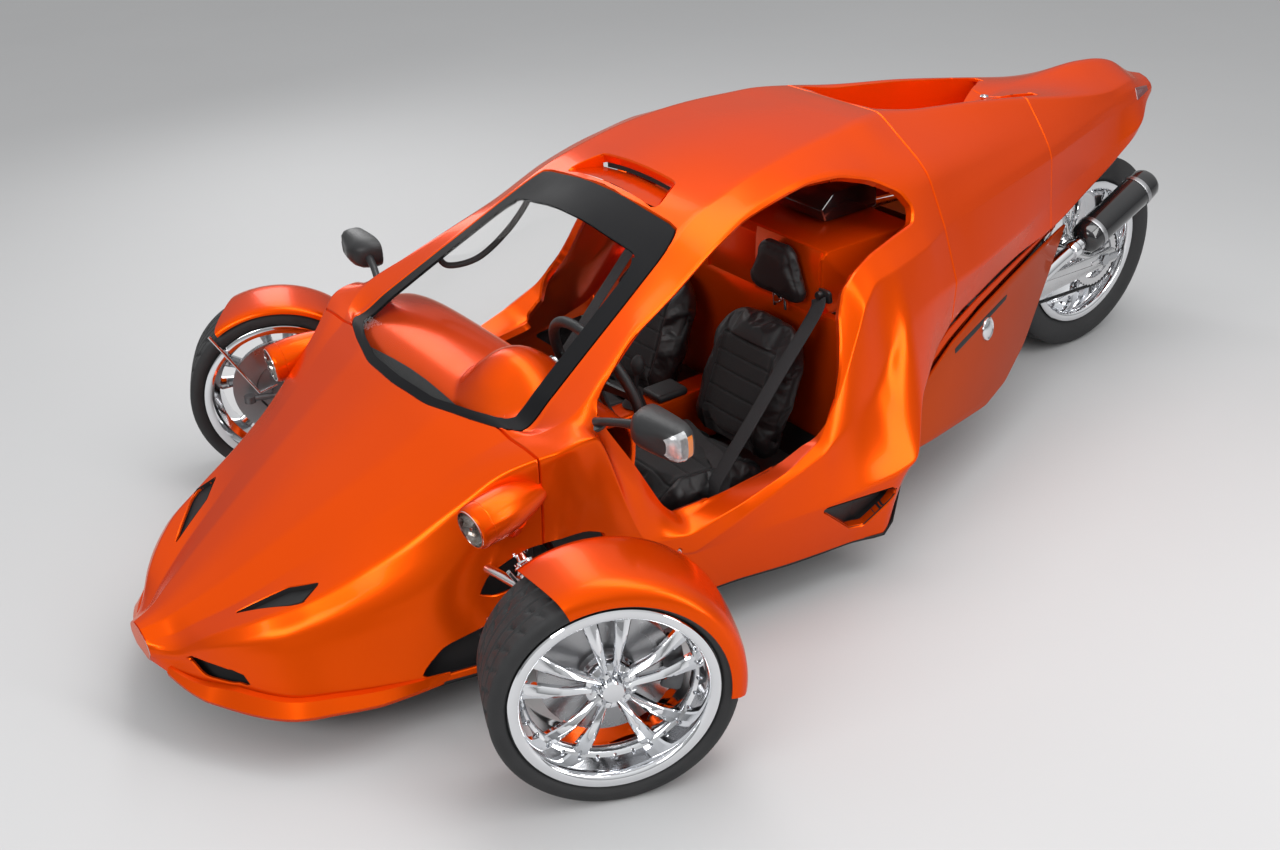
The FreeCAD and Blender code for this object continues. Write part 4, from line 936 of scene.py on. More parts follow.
def tyre_part(r_out, r_lip, width, blocks):
    """Tyre: a ring profile of tread, rounded shoulders and bulged walls turned about the axle; ring and
    slanted grooves lower the tread's radius by a smooth function of width and angle."""
    half = width / 2
    deep = r_out - r_lip
    tread = np.linspace(.80, -.80, 41)
    wall = [(.84, .02), (.90, .09), (.965, .24), (.995, .42), (1.0, .56), (.985, .72), (.945, .86), (.885, .945)]
    right = [(a * half, r_lip + d * deep) for a, d in wall]
    left = [(-a * half, r_lip + d * deep) for a, d in reversed(wall)]
    crown = [(t * half, r_out - .05 * deep * abs(t) ** 3 / .5) for t in tread]
    bead = [(-.84 * half, r_lip - .012), (.84 * half, r_lip - .012)]
    prof = np.array(right + crown + left + bead)
    n = blocks * 8
    t = np.linspace(0, 2 * np.pi, n, endpoint=False)
    a, r = prof[:, 0:1], prof[:, 1:2]
    x = a / half
    on = (np.abs(x) <= .81) & (r > r_lip + .5 * deep)
    ring = sum(np.exp(-((np.abs(x) - c) / .030) ** 4) for c in (.16, .52))
    phase = (blocks * t[None] / (2 * np.pi) + 1.1 * np.abs(x)) % 1.0
    cut = np.exp(-((phase - .5) / .10) ** 4) * (np.abs(x) > .24) * (np.abs(np.abs(x) - .52) > .05)
    r = r - on * .0048 * np.clip(ring + cut, 0, 1)
    p = np.stack([a + 0 * r, r * np.cos(t)[None], r * np.sin(t)[None]], axis=-1)
    p = np.concatenate([p, p[:1]])
    return wrap(p)


def lathed_x(profile, segments=96):
    """Profile of pairs (along x, radius) turned about X; it runs from right to left on its outer side."""
    prof = np.array(profile, float)
    prof = np.concatenate([prof, prof[:1]])
    t = np.linspace(0, 2 * np.pi, segments, endpoint=False)[None]
    return wrap(np.stack([prof[:, :1] + 0 * t, prof[:, 1:] * np.cos(t), prof[:, 1:] * np.sin(t)], axis=-1))


def turned_x(part, angle):
    """Part turned about the X axis."""
    (x, y, z), c, s = part[0].T, math.cos(angle), math.sin(angle)
    return np.stack([x, c * y - s * z, s * y + c * z], axis=1), part[1]


def moved(part, by):
    """Part shifted by a vector."""
    v, f = part
    return np.asarray(v, float) + np.array(by), f


def blade(r0, r1, x0, x1, half0, half1, off0, off1, ridge, thick):
    """One spoke blade along Z: a closed section with a ridge and two facets, its half width, place across
    and height changing along the radius, flared at the far end."""
    t = np.linspace(0, 1, 16)
    r = r0 + (r1 - r0) * t
    flare = t ** 2.2
    w = half0 + (half1 - half0) * (.35 * t + .65 * flare)
    c = off0 + (off1 - off0) * (.75 * t + .25 * flare)
    x = x0 + (x1 - x0) * t + .010 * np.sin(np.pi * t) ** 2
    top = ridge * (1 - .55 * flare)
    shape = [(-1, -.75, 0), (-1, -.1, 0), (-.82, .12, 0), (-.06, 0, 1), (.06, 0, 1), (.82, .12, 0), (1, -.1, 0),
             (1, -.75, 0), (.4, -1, 0), (-.4, -1, 0)]
    rows = [np.stack([x + thick * d + top * k + 0 * w, c + w * a, r], axis=-1) for a, d, k in shape]
    return wrap(np.stack(rows, axis=1)[:, ::-1], caps=True)


def rim_parts(r_lip, half, face, pairs):
    """Deep rim: barrel and lip as one turned profile, five pairs of blades that spread to the step, hub,
    cap, nuts and a row of studs. Returns bright and dark parts."""
    h = half
    deep = h - face
    prof = [
        (h + .0085, r_lip - .003), (h + .006, r_lip), (h + .001, r_lip), (h, r_lip - .006), (h - .001, r_lip - .0135),
        (h - .030, r_lip - .017), (h - .045, r_lip - .030), (-h * .4, r_lip - .034), (-h * .62, r_lip - .016),
        (-h + .001, r_lip - .0135), (-h, r_lip - .006), (-h - .002, r_lip), (-h - .007, r_lip),
        (-h - .009, r_lip - .004), (-h - .009, r_lip - .022), (-h * .95, r_lip - .024), (-h * .6, r_lip - .026),
        (-h * .4, r_lip - .042),
        (face - .030, r_lip - .046), (face - .004, r_lip - .046), (face, r_lip - .044), (face + .003, r_lip - .040),
        (face + .006, r_lip - .0365), (face + deep * .35, r_lip - .033), (face + deep * .7, r_lip - .030),
        (h + .001, r_lip - .0265), (h + .0055, r_lip - .0235), (h + .0078, r_lip - .0195), (h + .0088, r_lip - .010),
    ]
    bright = [lathed_x(prof, 160)]
    ring = r_lip - .040
    for k in range(pairs):
        for sign in (-1, 1):
            b = blade(.028, ring + .002, face + .012, face - .002, .0085, .0215, sign * .0105, sign * .043, .0095, .017)
            bright.append(turned_x(b, 2 * math.pi * k / pairs))
    hub = [(face + .009, .056), (face - .004, .062), (face - .016, .064)]
    bright.append(lathed_x([(face + .009, .0), (face + .009, .030), (face + .012, .038),
                            (face + .014, .046)] + hub + [(face - .016, .0)], 64))
    cap = [(face + .034, .0), (face + .034, .018), (face + .0325, .0235), (face + .028, .0265), (face + .012, .0275),
           (face + .008, .0275), (face + .008, .0)]
    bright.append(lathed_x(cap, 48))
    dark = []
    for k in range(5):
        a = 2 * math.pi * (k + .5) / 5
        nut = lathed_x([(face + .026, .0), (face + .026, .0052), (face + .024, .0078), (face + .010, .0085),
                        (face + .004, .0085), (face + .004, .0)], 6)
        spot = (.0, .0385 * math.cos(a), .0385 * math.sin(a))
        bright.append(moved(nut, spot))
        seat = lathed_x([(face + .0155, .0), (face + .0155, .0112), (face + .008, .0118), (face + .008, .0)], 20)
        dark.append(moved(seat, spot))
    studs = []
    for k in range(pairs * 6):
        a = 2 * math.pi * (k + .5) / (pairs * 6)
        stud = lathed_x([(face + .0125, .0), (face + .012, .0026), (face + .0095, .0036), (face + .003, .0038),
                         (face + .003, .0)], 10)
        studs.append(moved(stud, (.0, (r_lip - .0385) * math.cos(a), (r_lip - .0385) * math.sin(a))))
    return join(*bright), join(*dark, *studs)


def arc_band(a0, a1, section, n=72, lead=None):
    """Band round the axle: a closed section of (x, radius) carried from angle a0 to a1, measured from the
    top backwards; lead gives for each section point how far its front edge is held back."""
    sec = np.array(section, float)
    t = np.linspace(0, 1, n)[:, None]
    start = a0 + (np.zeros(len(sec)) if lead is None else np.array(lead, float))[None]
    a = start + (a1 - start) * t
    x = sec[:, 0][None] + 0 * a
    r = sec[:, 1][None]
    return wrap(np.stack([x, r * np.sin(a), r * np.cos(a)], axis=-1)[:, ::-1], caps=True)


def build_wheels():
    """Both front wheels with discs and calipers, and the rear wheel with its belt pulley."""
    for side in ("left", "right"):
        body = "wheel_" + side
        make("front_tyre_" + side, placed(tyre_part(.272, .229, .196, 32), side), "tread_rubber", body,
             "tyre_" + side, "tyre")
        bright, dark = rim_parts(.229, .0843, .031, 5)
        make("front_rim_" + side, placed(bright, side), "chrome", body, "rim_" + side, "wheel_chrome", smooth=30)
        make("rim_nuts_" + side, placed(dark, side), "chrome_dark", body, smooth=30)
        disc = [(-.0085, .150), (-.0095, .1505), (-.0155, .1505), (-.0165, .148), (-.0165, .088), (-.0215, .088),
                (-.0215, .148), (-.0225, .1505), (-.0285, .1505), (-.0295, .150),
                (-.0300, .082), (-.022, .078), (-.022, .040), (.010, .036), (.0115, .038), (.0115, .056),
                (.008, .060), (-.0075, .064), (-.0075, .082), (-.0085, .090)]
        make("brake_disc_" + side, placed(lathed_x(disc, 120), side), "disc_steel", body, "disc_" + side, "disc_steel")
        cal = [(.013, .128), (.014, .134), (.014, .160), (.009, .168), (-.012, .1705), (-.046, .168), (-.0505, .162),
               (-.0510, .128), (-.047, .122), (-.037, .122), (-.036, .128), (-.036, .1565), (-.002, .1565),
               (-.002, .128), (.000, .122), (.009, .122)]
        make("brake_caliper_" + side, placed(arc_band(math.radians(68), math.radians(112), cal, 18), side), "cast",
             "steer_" + side, "caliper_" + side, "caliper_grey")
    centre = at(.0, 2.480, .328)
    make("rear_tyre_dressed", moved(tyre_part(.328, .242, .250, 36), centre), "tread_rubber", "rear_wheel",
         "rear_tyre", "tyre")
    bright, dark = rim_parts(.242, .1075, .030, 5)
    make("rear_rim_dressed", moved(bright, centre), "chrome", "rear_wheel", "rear_rim", "wheel_chrome", smooth=30)
    make("rear_rim_nuts", moved(dark, centre), "chrome_dark", "rear_wheel", smooth=30)
    teeth = 40
    t = np.linspace(0, 2 * np.pi, teeth * 6, endpoint=False)
    out = .0985 + .0022 * np.tanh(3 * np.sin(teeth * t))
    rows = []
    for x, tip in ((.158, 0), (.157, 1), (.143, 1), (.142, 0), (.142, None), (.158, None)):
        radius = .076 + 0 * t if tip is None else out + .0012 * tip
        rows.append(np.stack([x + 0 * t, radius * np.cos(t), radius * np.sin(t)], axis=-1))
    ring = wrap(np.stack(rows + rows[:1]))
    hub = lathed_x([(.156, .020), (.156, .030), (.150, .036), (.110, .040), (.055, .044), (.050, .052), (.048, .052),
                    (.048, .018), (.156, .018)], 48)
    arm = wrap(np.array([[(.154, -w, r), (.154, w, r), (.146, w, r), (.146, -w, r)]
                         for r, w in ((.028, .012), (.050, .008), (.078, .011))]), caps=True)
    arms = [turned_x(arm, 2 * math.pi * k / 5) for k in range(5)]
    make("belt_pulley", moved(join(ring, hub, *arms), centre), "polished", "rear_wheel", "rear_pulley",
         "polished_alloy", smooth=30)


def build_fenders():
    """Cycle fenders: a crowned section with a deep rolled skirt outside, its front edge cut slantwise."""
    outer = [(-.106, .272), (-.1045, .281), (-.098, .2875), (-.082, .2915), (-.050, .2935), (-.010, .2942),
             (.030, .2935), (.062, .2912), (.084, .287), (.0975, .279), (.1048, .266), (.1068, .252), (.1066, .247)]
    inner = [(x * .965 - .0012 * (1 if x > 0 else -1), r - .0055 if abs(x) < .1 else r) for x, r in reversed(outer)]
    section = outer + [(.1035, .2468)] + inner[1:-1] + [(-.1025, .272)]
    lead = [math.radians(15.0) * ((x + .107) / .214) for x, r in section]
    for side in ("left", "right"):
        part = arc_band(math.radians(-35), math.radians(98), section, 96, lead)
        make("wheel_fender_" + side, placed(part, side), "candy_paint", "steer_" + side, "fender_" + side,
             "body_paint", smooth=40)


def coil(a, b, radius, wire, turns, sides=10, per=22):
    """Helix of round wire from a to b, its first and last turns laid flat."""
    a, b = np.array(a, float), np.array(b, float)
    n = int(turns * per)
    t = np.linspace(0, 1, n)
    run = b - a
    d = run / np.linalg.norm(run)
    u = unit(np.cross(d, (.0, 1.0, .0)))
    w = np.cross(d, u)
    rise = np.interp(t, (0, 1 / turns, 1 - 1 / turns, 1), (.0, .05, .95, 1.0))
    ang = 2 * np.pi * turns * t
    path = a + rise[:, None] * run + radius * (np.cos(ang)[:, None] * u + np.sin(ang)[:, None] * w)
    return tube(path, wire, sides)


def pin(a, b, end, middle, share=.2, segments=28):
    """Round pin between two points, thinner over a share of its length at each end."""
    return turned([(0, 0), (0, end), (share, middle), (1 - share, middle), (1, end), (1, 0)], a, b, segments)


def turned(profile, a, b, segments=40):
    """Profile of pairs (share of the way from a to b, radius) turned about the line between them."""
    a, b = np.array(a, float), np.array(b, float)
    size = np.linalg.norm(b - a)
    return inside_out(lathe([(s * size, r) for s, r in profile], a, b - a, segments))


def build_suspension():
    """Polished wishbones with forked ends, and coil springs over their dampers."""
    low, high = AXLE_Z - .084, AXLE_Z + .084
    for side in ("left", "right"):
        parts = []
        for z, z_in, spread in ((low, low, .120), (high, high + .017, .096)):
            for sign in (-1, 1):
                start = at(.430, .010 + spread * sign, z_in)
                end = at(.815, .010 + .006 * sign, z)
                parts.append(tube([start, start * .97 + end * .03, start * .06 + end * .94, end],
                                  [.0105, .0115, .0115, .0085], 18))
                parts.append(turned([(0, 0), (0, .017), (1, .017), (1, 0)], start - (0, .022, 0),
                                    start + (0, .022, 0), 24))
            parts.append(pin(at(.832, .010, z - .0085), at(.832, .010, z + .0085), .013, .0165))
        make("control_arms_" + side, on_side(join(*parts), side), "polished", "chassis", "wishbones_" + side,
             "polished_steel", smooth=30)
        foot, head = at(.700, .010, low + .012), at(.500, .010, high + .030)
        run = head - foot
        spring = coil(foot + run * .30, foot + run * .86, .0245, .0052, 7.5)
        rod = turned([(0, 0), (0, .012), (.08, .012), (.09, .009), (.26, .009), (.27, .028), (.29, .029), (.31, .021),
                      (.33, .019), (.62, .019), (.63, .007), (.85, .007), (.86, .028), (.885, .029), (.90, .016),
                      (.97, .013), (1, .010), (1, 0)], foot, head, 36)
        eyes = [turned([(0, 0), (0, .014), (1, .014), (1, 0)], c - (0, .02, 0), c + (0, .02, 0), 24)
                for c in (foot, head)]
        make("spring_unit_" + side, on_side(join(spring, rod, *eyes), side), "chrome", "chassis", "coilover_" + side,
             "spring_chrome", smooth=35)


# ---- cabin -------------------------------------------------------------------------------------

SEAT_X = .232
BACK_FOOT, BACK_RISE = (.872, .232), .372           # lower end of the seats' backs and their height
CUSHION_EDGE, CUSHION_LENGTH = .505, .365
HEAD_Y = 1.026
BACK_SEAM, CUSHION_SEAM = .108, .112                # the bolsters' seams, from the middle of the seat
WHEEL_CENTRE, WHEEL_AXIS = (SEAT_X, .430, .590), (.0, -.94388, -.33036)


def inset_outline(p, d):
    """Closed outline (counter-clockwise) moved inwards by d along its corner normals."""
    e = unit(np.roll(p, -1, axis=0) - p)
    n = unit(np.stack([-e[:, 1], e[:, 0]], axis=1) + np.roll(np.stack([-e[:, 1], e[:, 0]], axis=1), 1, axis=0))
    return p + n * d


def plate_rings(outline, depth, bevel, corner, n=4):
    """Rings of a bevelled plate: the outline drawn in by a share of the bevel, and its height. corner
    rounds the outline's corners by that share of their sides."""
    p = np.array(outline, float)
    if corner:
        p = smooth_outline(p, corner, 2, n)
    for inset, low, high in ((1, .0, 0), (.3, .3, 0), (0, 1.0, 0), (0, -1.0, 1), (.3, -.301, 1), (1, .0, 1)):
        yield inset_outline(p, bevel * inset), bevel * low + depth * high


def prism(outline, origin, u, w, depth, bevel=.003, corner=.0):
    """Solid over an outline in the plane of u and w, pushed by depth along u x w, both rims bevelled."""
    u, w = np.array(u, float), np.array(w, float)
    rings = plate_rings(outline, depth, bevel, corner)
    rows = [np.array(origin, float) + q[:, :1] * u + q[:, 1:] * w + h * np.cross(u, w) for q, h in rings]
    return inside_out(wrap(np.stack(rows), caps=True))


def slab(outline, x, depth, bevel=.003, corner=.0):
    """Solid over an outline in side view (y, z), from x on by its depth."""
    return prism(outline, (x, FRONT, 0), (0, 1, 0), (0, 0, 1), depth, bevel, corner)


def surface_height(x, y):
    """Height of the body's top at points x, y (y from the front axle), by interpolation on its sections."""
    x, y = np.atleast_1d(x).astype(float), np.atleast_1d(y).astype(float)
    g = body_grid(y)
    c = g.shape[1] // 2
    g = g[:, c - 34:c + 35][:, ::-1]
    return np.array([np.interp(a, row[:, 0], row[:, 2]) for a, row in zip(x, g)])


def swell(part, steps_=20, voxel=.006, cap=.015, pressure=4.0):
    """Padded form: the closed part is remeshed in small cells, blown up as cloth under pressure, and no
    point moves further than the cap; then one smooth subdivision. Returns vertices and faces."""
    v, f = part
    mesh = bpy.data.meshes.new("pad_start")
    mesh.from_pydata(np.asarray(v).tolist(), [], [list(g) for g in f])
    obj = bpy.data.objects.new("pad_start", mesh)
    bpy.context.scene.collection.objects.link(obj)
    finish_mesh(obj, turn=True)
    grid_mod = obj.modifiers.new("cells", "REMESH")
    grid_mod.mode, grid_mod.voxel_size = "VOXEL", voxel
    obj = applied(obj, "pad_cells")
    start = points_of(obj.data)
    cloth = obj.modifiers.new("cloth", "CLOTH")
    cloth.settings.use_pressure = True
    cloth.settings.uniform_pressure_force = pressure
    cloth.settings.effector_weights.gravity = .0
    cloth.point_cache.frame_start, cloth.point_cache.frame_end = 1, steps_
    scene = bpy.context.scene
    for k in range(1, steps_ + 1):
        scene.frame_set(k)
    end = points_of(obj.evaluated_get(bpy.context.evaluated_depsgraph_get()).data)
    obj.modifiers.remove(cloth)
    scene.frame_set(1)
    run = end - start
    size = np.linalg.norm(run, axis=1, keepdims=True)
    end = start + run * np.minimum(1.0, cap / np.maximum(size, 1e-9))
    obj.data.vertices.foreach_set("co", end.astype(np.float32).ravel())
    obj.data.update()
    fine = obj.modifiers.new("fine", "SUBSURF")
    fine.levels = fine.render_levels = 1
    obj = applied(obj, "pad_fine")
    v, f = points_of(obj.data), [list(p.vertices) for p in obj.data.polygons]
    bpy.data.objects.remove(obj)
    return v, f


def points_of(mesh):
    """The mesh's points as one array."""
    co = np.zeros(len(mesh.vertices) * 3, np.float32)
    mesh.vertices.foreach_get("co", co)
    return co.reshape(-1, 3).astype(float)


def applied(obj, name):
    """New object with the evaluated mesh of the old one, which is removed."""
    bpy.context.view_layer.update()
    mesh = bpy.data.meshes.new_from_object(obj.evaluated_get(bpy.context.evaluated_depsgraph_get()))
    new = bpy.data.objects.new(name, mesh)
    bpy.context.scene.collection.objects.link(new)
    bpy.data.objects.remove(obj)
    return new


def bucket_rings(half, deep, lift, peak, start, reach):
    """Sections of a bucket seat: a flattened oval at each station whose upper face swells into two bolsters
    from the share `start` of its half width on. Returns how far its points lie across and out."""
    a = np.linspace(0, 2 * np.pi, 44, endpoint=False)[None]
    c, s = np.cos(a), np.sin(a)
    x = half[:, None] * np.sign(c) * np.abs(c) ** .72
    side = np.abs(x) / half[:, None]
    rise = peak * np.clip((side - start) / reach, 0, 1) ** 1.5 * (s > 0) * lift[:, None]
    return x + SEAT_X, deep[:, None] * np.sign(s) * np.abs(s) ** .85 + rise


def seat_back():
    """Back of a bucket seat: sections along its slope, narrowing to round shoulders."""
    t = np.linspace(0, 1, 28)
    half = np.interp(t, (0, .08, .4, .72, .86, .94, .98, 1), (.130, .160, .176, .172, .150, .118, .085, .04))
    deep = np.interp(t, (0, .1, .8, .95, 1), (.030, .042, .038, .028, .010))
    x, d = bucket_rings(half, deep, np.interp(t, (0, .15, .75, .95), (.4, 1, .8, 0)), .024, .50, .30)
    y, z = BACK_FOOT[0] + .128 * t, BACK_FOOT[1] + BACK_RISE * t
    return wrap(at(x, y[:, None] - .943 * d, z[:, None] + .324 * d), caps=True)


def seat_cushion():
    """Cushion of a bucket seat: sections along its length, the front edge rolled down."""
    t = np.linspace(0, 1, 26)
    half = np.interp(t, (0, .04, .12, .5, .9, 1), (.10, .145, .172, .176, .162, .13))
    deep = np.interp(t, (0, .05, .15, .8, 1), (.014, .030, .038, .036, .018))
    x, d = bucket_rings(half, deep, np.interp(t, (0, .15, .8, 1), (.1, .8, 1, .6)), .026, .55, .28)
    z = np.interp(t, (0, .12, .5, 1), (.222, .236, .222, .205))
    return wrap(at(x, (CUSHION_EDGE + CUSHION_LENGTH * t)[:, None], z[:, None] + d)[:, ::-1], caps=True)


def head_pad():
    """Headrest: narrow at the top, widest low down, its face slightly crowned."""
    z = np.linspace(0, 1, 14)
    half = np.interp(z, (0, .06, .22, .9, 1), (.084, .102, .110, .066, .044))
    a = np.linspace(0, 2 * np.pi, 32, endpoint=False)[None]
    x = half[:, None] * np.sign(np.cos(a)) * np.abs(np.cos(a)) ** .5
    y = np.interp(z, (0, .1, .9, 1), (.014, .020, .020, .012))[:, None] * np.sign(np.sin(a)) * np.abs(np.sin(a)) ** .6
    return wrap(at(x + SEAT_X, y + HEAD_Y, (.640 + .150 * z)[:, None]), caps=True)


def groove(v, n, where, depth):
    """Press the points in along their normals by depth times a mask."""
    return v - n * (depth * where)[:, None]


def vertex_normals(v, f):
    """Mean normals of the faces around each vertex, from the diagonals of each quad."""
    q = np.array([g if len(g) == 4 else [g[0], g[1], g[2], g[2]] for g in f])
    face = np.cross(v[q[:, 2]] - v[q[:, 0]], v[q[:, 3]] - v[q[:, 1]])
    out = np.zeros_like(v)
    for k in range(4):
        np.add.at(out, q[:, k], face)
    return unit(out)


def line_mask(value, lines, width):
    """How near a value lies to any of the lines, from 0 to 1: a bell curve of the given width over each."""
    return np.clip(sum(np.exp(-((value - c) / width) ** 2) for c in lines), 0, 1)


def two_tone(obj, mask):
    """Faces whose middle lies in the mask are of leather."""
    obj.data.materials.append(MATERIALS["leather"])
    co = points_of(obj.data)
    centre = np.array([co[list(p.vertices)].mean(axis=0) for p in obj.data.polygons])
    obj.data.polygons.foreach_set("material_index", mask(centre).astype(np.int32))
    obj.data.update()


def build_seats():
    """Two bucket seats, padded: back, cushion and headrest with seams and sewn channels, on a post."""
    back = swell(seat_back())
    seat = swell(seat_cushion())
    head = swell(head_pad(), cap=.006, voxel=.005)
    v, f = back
    n = vertex_normals(v, f)
    along = (v[:, 2] - BACK_FOOT[1]) / BACK_RISE
    across = np.abs(v[:, 0] - SEAT_X)
    front = n[:, 1] < -.2
    seams = line_mask(across, (BACK_SEAM,), .0035) * front * (along < .80)
    seams = np.maximum(seams, line_mask(along, (.80,), .009) * front * (across < BACK_SEAM))
    cross = line_mask(along, (.14, .28, .42, .56, .68), .008) * front * (across < .106)
    back = groove(v, n, np.clip(seams + .8 * cross, 0, 1), .0055), f
    v, f = seat
    n = vertex_normals(v, f)
    along = (v[:, 1] - FRONT - CUSHION_EDGE) / CUSHION_LENGTH
    across = np.abs(v[:, 0] - SEAT_X)
    top = n[:, 2] > .2
    seams = line_mask(across, (CUSHION_SEAM,), .0035) * top
    cross = line_mask(along, (.16, .34, .52, .70, .86), .009) * top * (across < .110)
    seat = groove(v, n, np.clip(seams + .8 * cross, 0, 1), .0055), f
    v, f = head
    head = groove(v, vertex_normals(v, f), line_mask(np.abs(v[:, 1] - FRONT - HEAD_Y), (.017,), .003), .002), f
    for side, sign in (("left", 1), ("right", -1)):
        a = make("seat_back_" + side, on_side(back, side), "cloth", node="seat_" + side, smooth=80)
        two_tone(a, lambda c: (np.abs(np.abs(c[:, 0]) - SEAT_X) > BACK_SEAM)
                 | (c[:, 2] > BACK_FOOT[1] + .80 * BACK_RISE))
        b = make("seat_cushion_" + side, on_side(seat, side), "cloth", node="seat_" + side, smooth=80)
        two_tone(b, lambda c: np.abs(np.abs(c[:, 0]) - SEAT_X) > CUSHION_SEAM)
        h = make("head_pad_" + side, on_side(head, side), "leather", node="headrest_" + side, smooth=80)
        x = sign * SEAT_X
        post = [tube([at(x + k * .022, 1.036, .60), at(x + k * .022, 1.030, .675)], .0055, 14) for k in (-1, 1)]
        post.append(pin(at(x, 1.020, .628), at(x, 1.046, .628), .011, .013, .2, 20))
        make("headrest_post_" + side, join(*post), "chrome")


def strip(path, across, width, thick):
    """Flat webbing along a path: its width lies along `across`, with rounded edges."""
    p = curve_through(np.array(path, float), 10)
    d = unit(np.gradient(p, axis=0))
    w = unit(np.array(across, float) - d * (d @ np.array(across, float))[:, None])
    n = np.cross(d, w)
    sec = [(-.5, 0), (-.48, .5), (-.3, .5), (0, .5), (.3, .5), (.48, .5), (.5, 0), (.48, -.5), (.3, -.5), (0, -.5),
           (-.3, -.5), (-.48, -.5)]
    rows = np.stack([p + w * a * width + n * b * thick for a, b in sec], axis=1)
    return wrap(rows, caps=True)


def build_belts():
    """Three point belts: webbing from the bulkhead over the outer bolster to the sill, with its anchors,
    and a short buckle stalk by the tunnel."""
    for side in ("left", "right"):
        web = strip([at(.372, 1.046, .668), at(.384, 1.030, .648), at(.388, .985, .600), at(.390, .90, .512),
                     at(.394, .80, .405), at(.398, .70, .300), at(.405, .655, .250), at(.425, .640, .190)],
                    (1, 0, 0), .046, .0016)
        cross = strip([at(.425, .650, .195), at(.40, .69, .262), at(.33, .73, .283), at(.23, .76, .268),
                       at(.13, .775, .283), at(.078, .79, .262)], (0, 1, .4), .044, .0016)
        make("belt_webbing_" + side, on_side(join(web, cross), side), "webbing", smooth=50)
        top = prism([(-.034, -.016), (.034, -.016), (.028, .018), (-.028, .018)], at(.372, 1.056, .672), (-1, 0, 0),
                    (0, 0, 1), .010, .002, .25)
        bolt = turned([(0, 0), (0, .010), (.7, .012), (1, .010), (1, 0)], at(.372, 1.056, .676),
                      at(.372, 1.040, .676), 20)
        stalk = prism([(-.016, -.045), (.016, -.045), (.020, .030), (-.020, .030)], at(.074, .792, .250), (0, 1, 0),
                      (0, -.25, .97), .020, .004, .3)
        make("belt_fittings_" + side, on_side(join(top, bolt, stalk), side), "trim_black")


def build_dash():
    """Dash with its dome over the dials: a curve from the screen's foot round the front edge, repeated across
    the cabin; the dome is added where the distance from its middle is below one."""
    path = curve_through([(.045, .560), (.070, .598), (.120, .622), (.200, .632), (.285, .626), (.330, .606),
                          (.352, .570), (.350, .510), (.325, .440), (.290, .425)], 6)
    t = np.linspace(-1, 1, 97)
    half = np.interp(path[:, 0], (.04, .20, .30, .36), (.470, .515, .500, .480))
    x = half[:, None] * t[None]
    y = path[:, :1] + 0 * x
    lift = 1 - (((x - .210) / .145) ** 2 + ((y - .215) / .150) ** 2)
    top = np.interp(path[:, 1], (.55, .60), (0, 1))[:, None]
    z = path[:, 1:] + top * .082 * np.clip(lift, 0, 1) ** 1.4 - .020 * np.abs(t)[None] ** 6
    p = at(x, y, z)
    make("dash_cowl", shell(p, np.ones((p.shape[0] - 1, p.shape[1] - 1), bool), .012), "candy_paint",
         node="dashboard", smooth=50)
    hood = prism([(-.085, 0), (.085, 0), (.085, .030), (.060, .062), (-.060, .062), (-.085, .030)],
                 at(.210, .372, .588), (1, 0, 0), (0, -.30, .954), .020, .003, .2)
    make("dial_hood", hood, "gloss_black")
    dials = []
    for dx, r in ((-.036, .026), (.036, .026)):
        c = at(.210 + dx, .346, .618)
        dials.append(turned([(0, 0), (0, r), (.5, r + .002), (1, r), (1, r - .003), (.6, r - .004), (.6, 0)], c,
                            c + np.array((0, .0095, .003)) * 1.6, 36))
    make("dial_rings", join(*dials), "chrome_dark", slot="spring_chrome")


def build_tunnel():
    """Tunnel's cover with the pad, the boot and the gear lever."""
    tunnel = prism([(-.048, 0), (.048, 0), (.048, .150), (.040, .176), (-.040, .176), (-.048, .150)],
                   at(0, 1.050, .146), (1, 0, 0), (0, 0, 1), .680, .004, .25)
    make("tunnel_cover", tunnel, "candy_paint", node="tunnel")
    pad = rounded_box(at(-.043, .755, .318), at(.043, .860, .342), .011)
    boot = inside_out(lathe([(0, .034), (.004, .036), (.012, .031), (.018, .029), (.026, .024), (.034, .021),
                             (.042, .016), (.052, .0125), (.060, .0)], at(0, .700, .318), (0, .15, 1), 32))
    lever = tube([at(0, .705, .360), at(0, .715, .425)], .006, 14)
    knob = turned([(0, 0), (0, .009), (.2, .016), (.5, .020), (.8, .017), (1, .008), (1, 0)], at(0, .713, .415),
                  at(0, .723, .468), 28)
    make("tunnel_pad", join(pad, boot, lever, knob), "rubber")


def build_bulkhead():
    """Bulkhead, the boxed fairing with the frames of the headrests, and the air duct."""
    wall = prism([(-.438, .146), (.438, .146), (.438, .560), (.500, .560), (.470, .615), (-.470, .615), (-.500, .560),
                  (-.438, .560)], at(0, 1.088, 0), (1, 0, 0), (0, 0, 1), .028, .002)
    make("bulkhead_panel", wall, "candy_paint", node="bulkhead")
    box = slab([(1.060, .606), (1.396, .606), (1.396, .788), (1.078, .788), (1.060, .770)], -.368, .736, .007, .06)
    make("headrest_fairing", box, "candy_paint", node="rear_shelf")
    rib = [(1.052, .612), (1.064, .612), (1.070, .782), (1.062, .790), (1.056, .760)]
    ribs = [slab(rib, s * SEAT_X - .128, .256, .002) for s in (-1, 1)]
    make("headrest_frames", join(*ribs), "candy_paint")
    duct = slab([(1.190, .830), (1.206, .792), (1.398, .792), (1.398, .872), (1.238, .872)], .022, .196, .006, .10)
    make("air_duct", duct, "gloss_black")


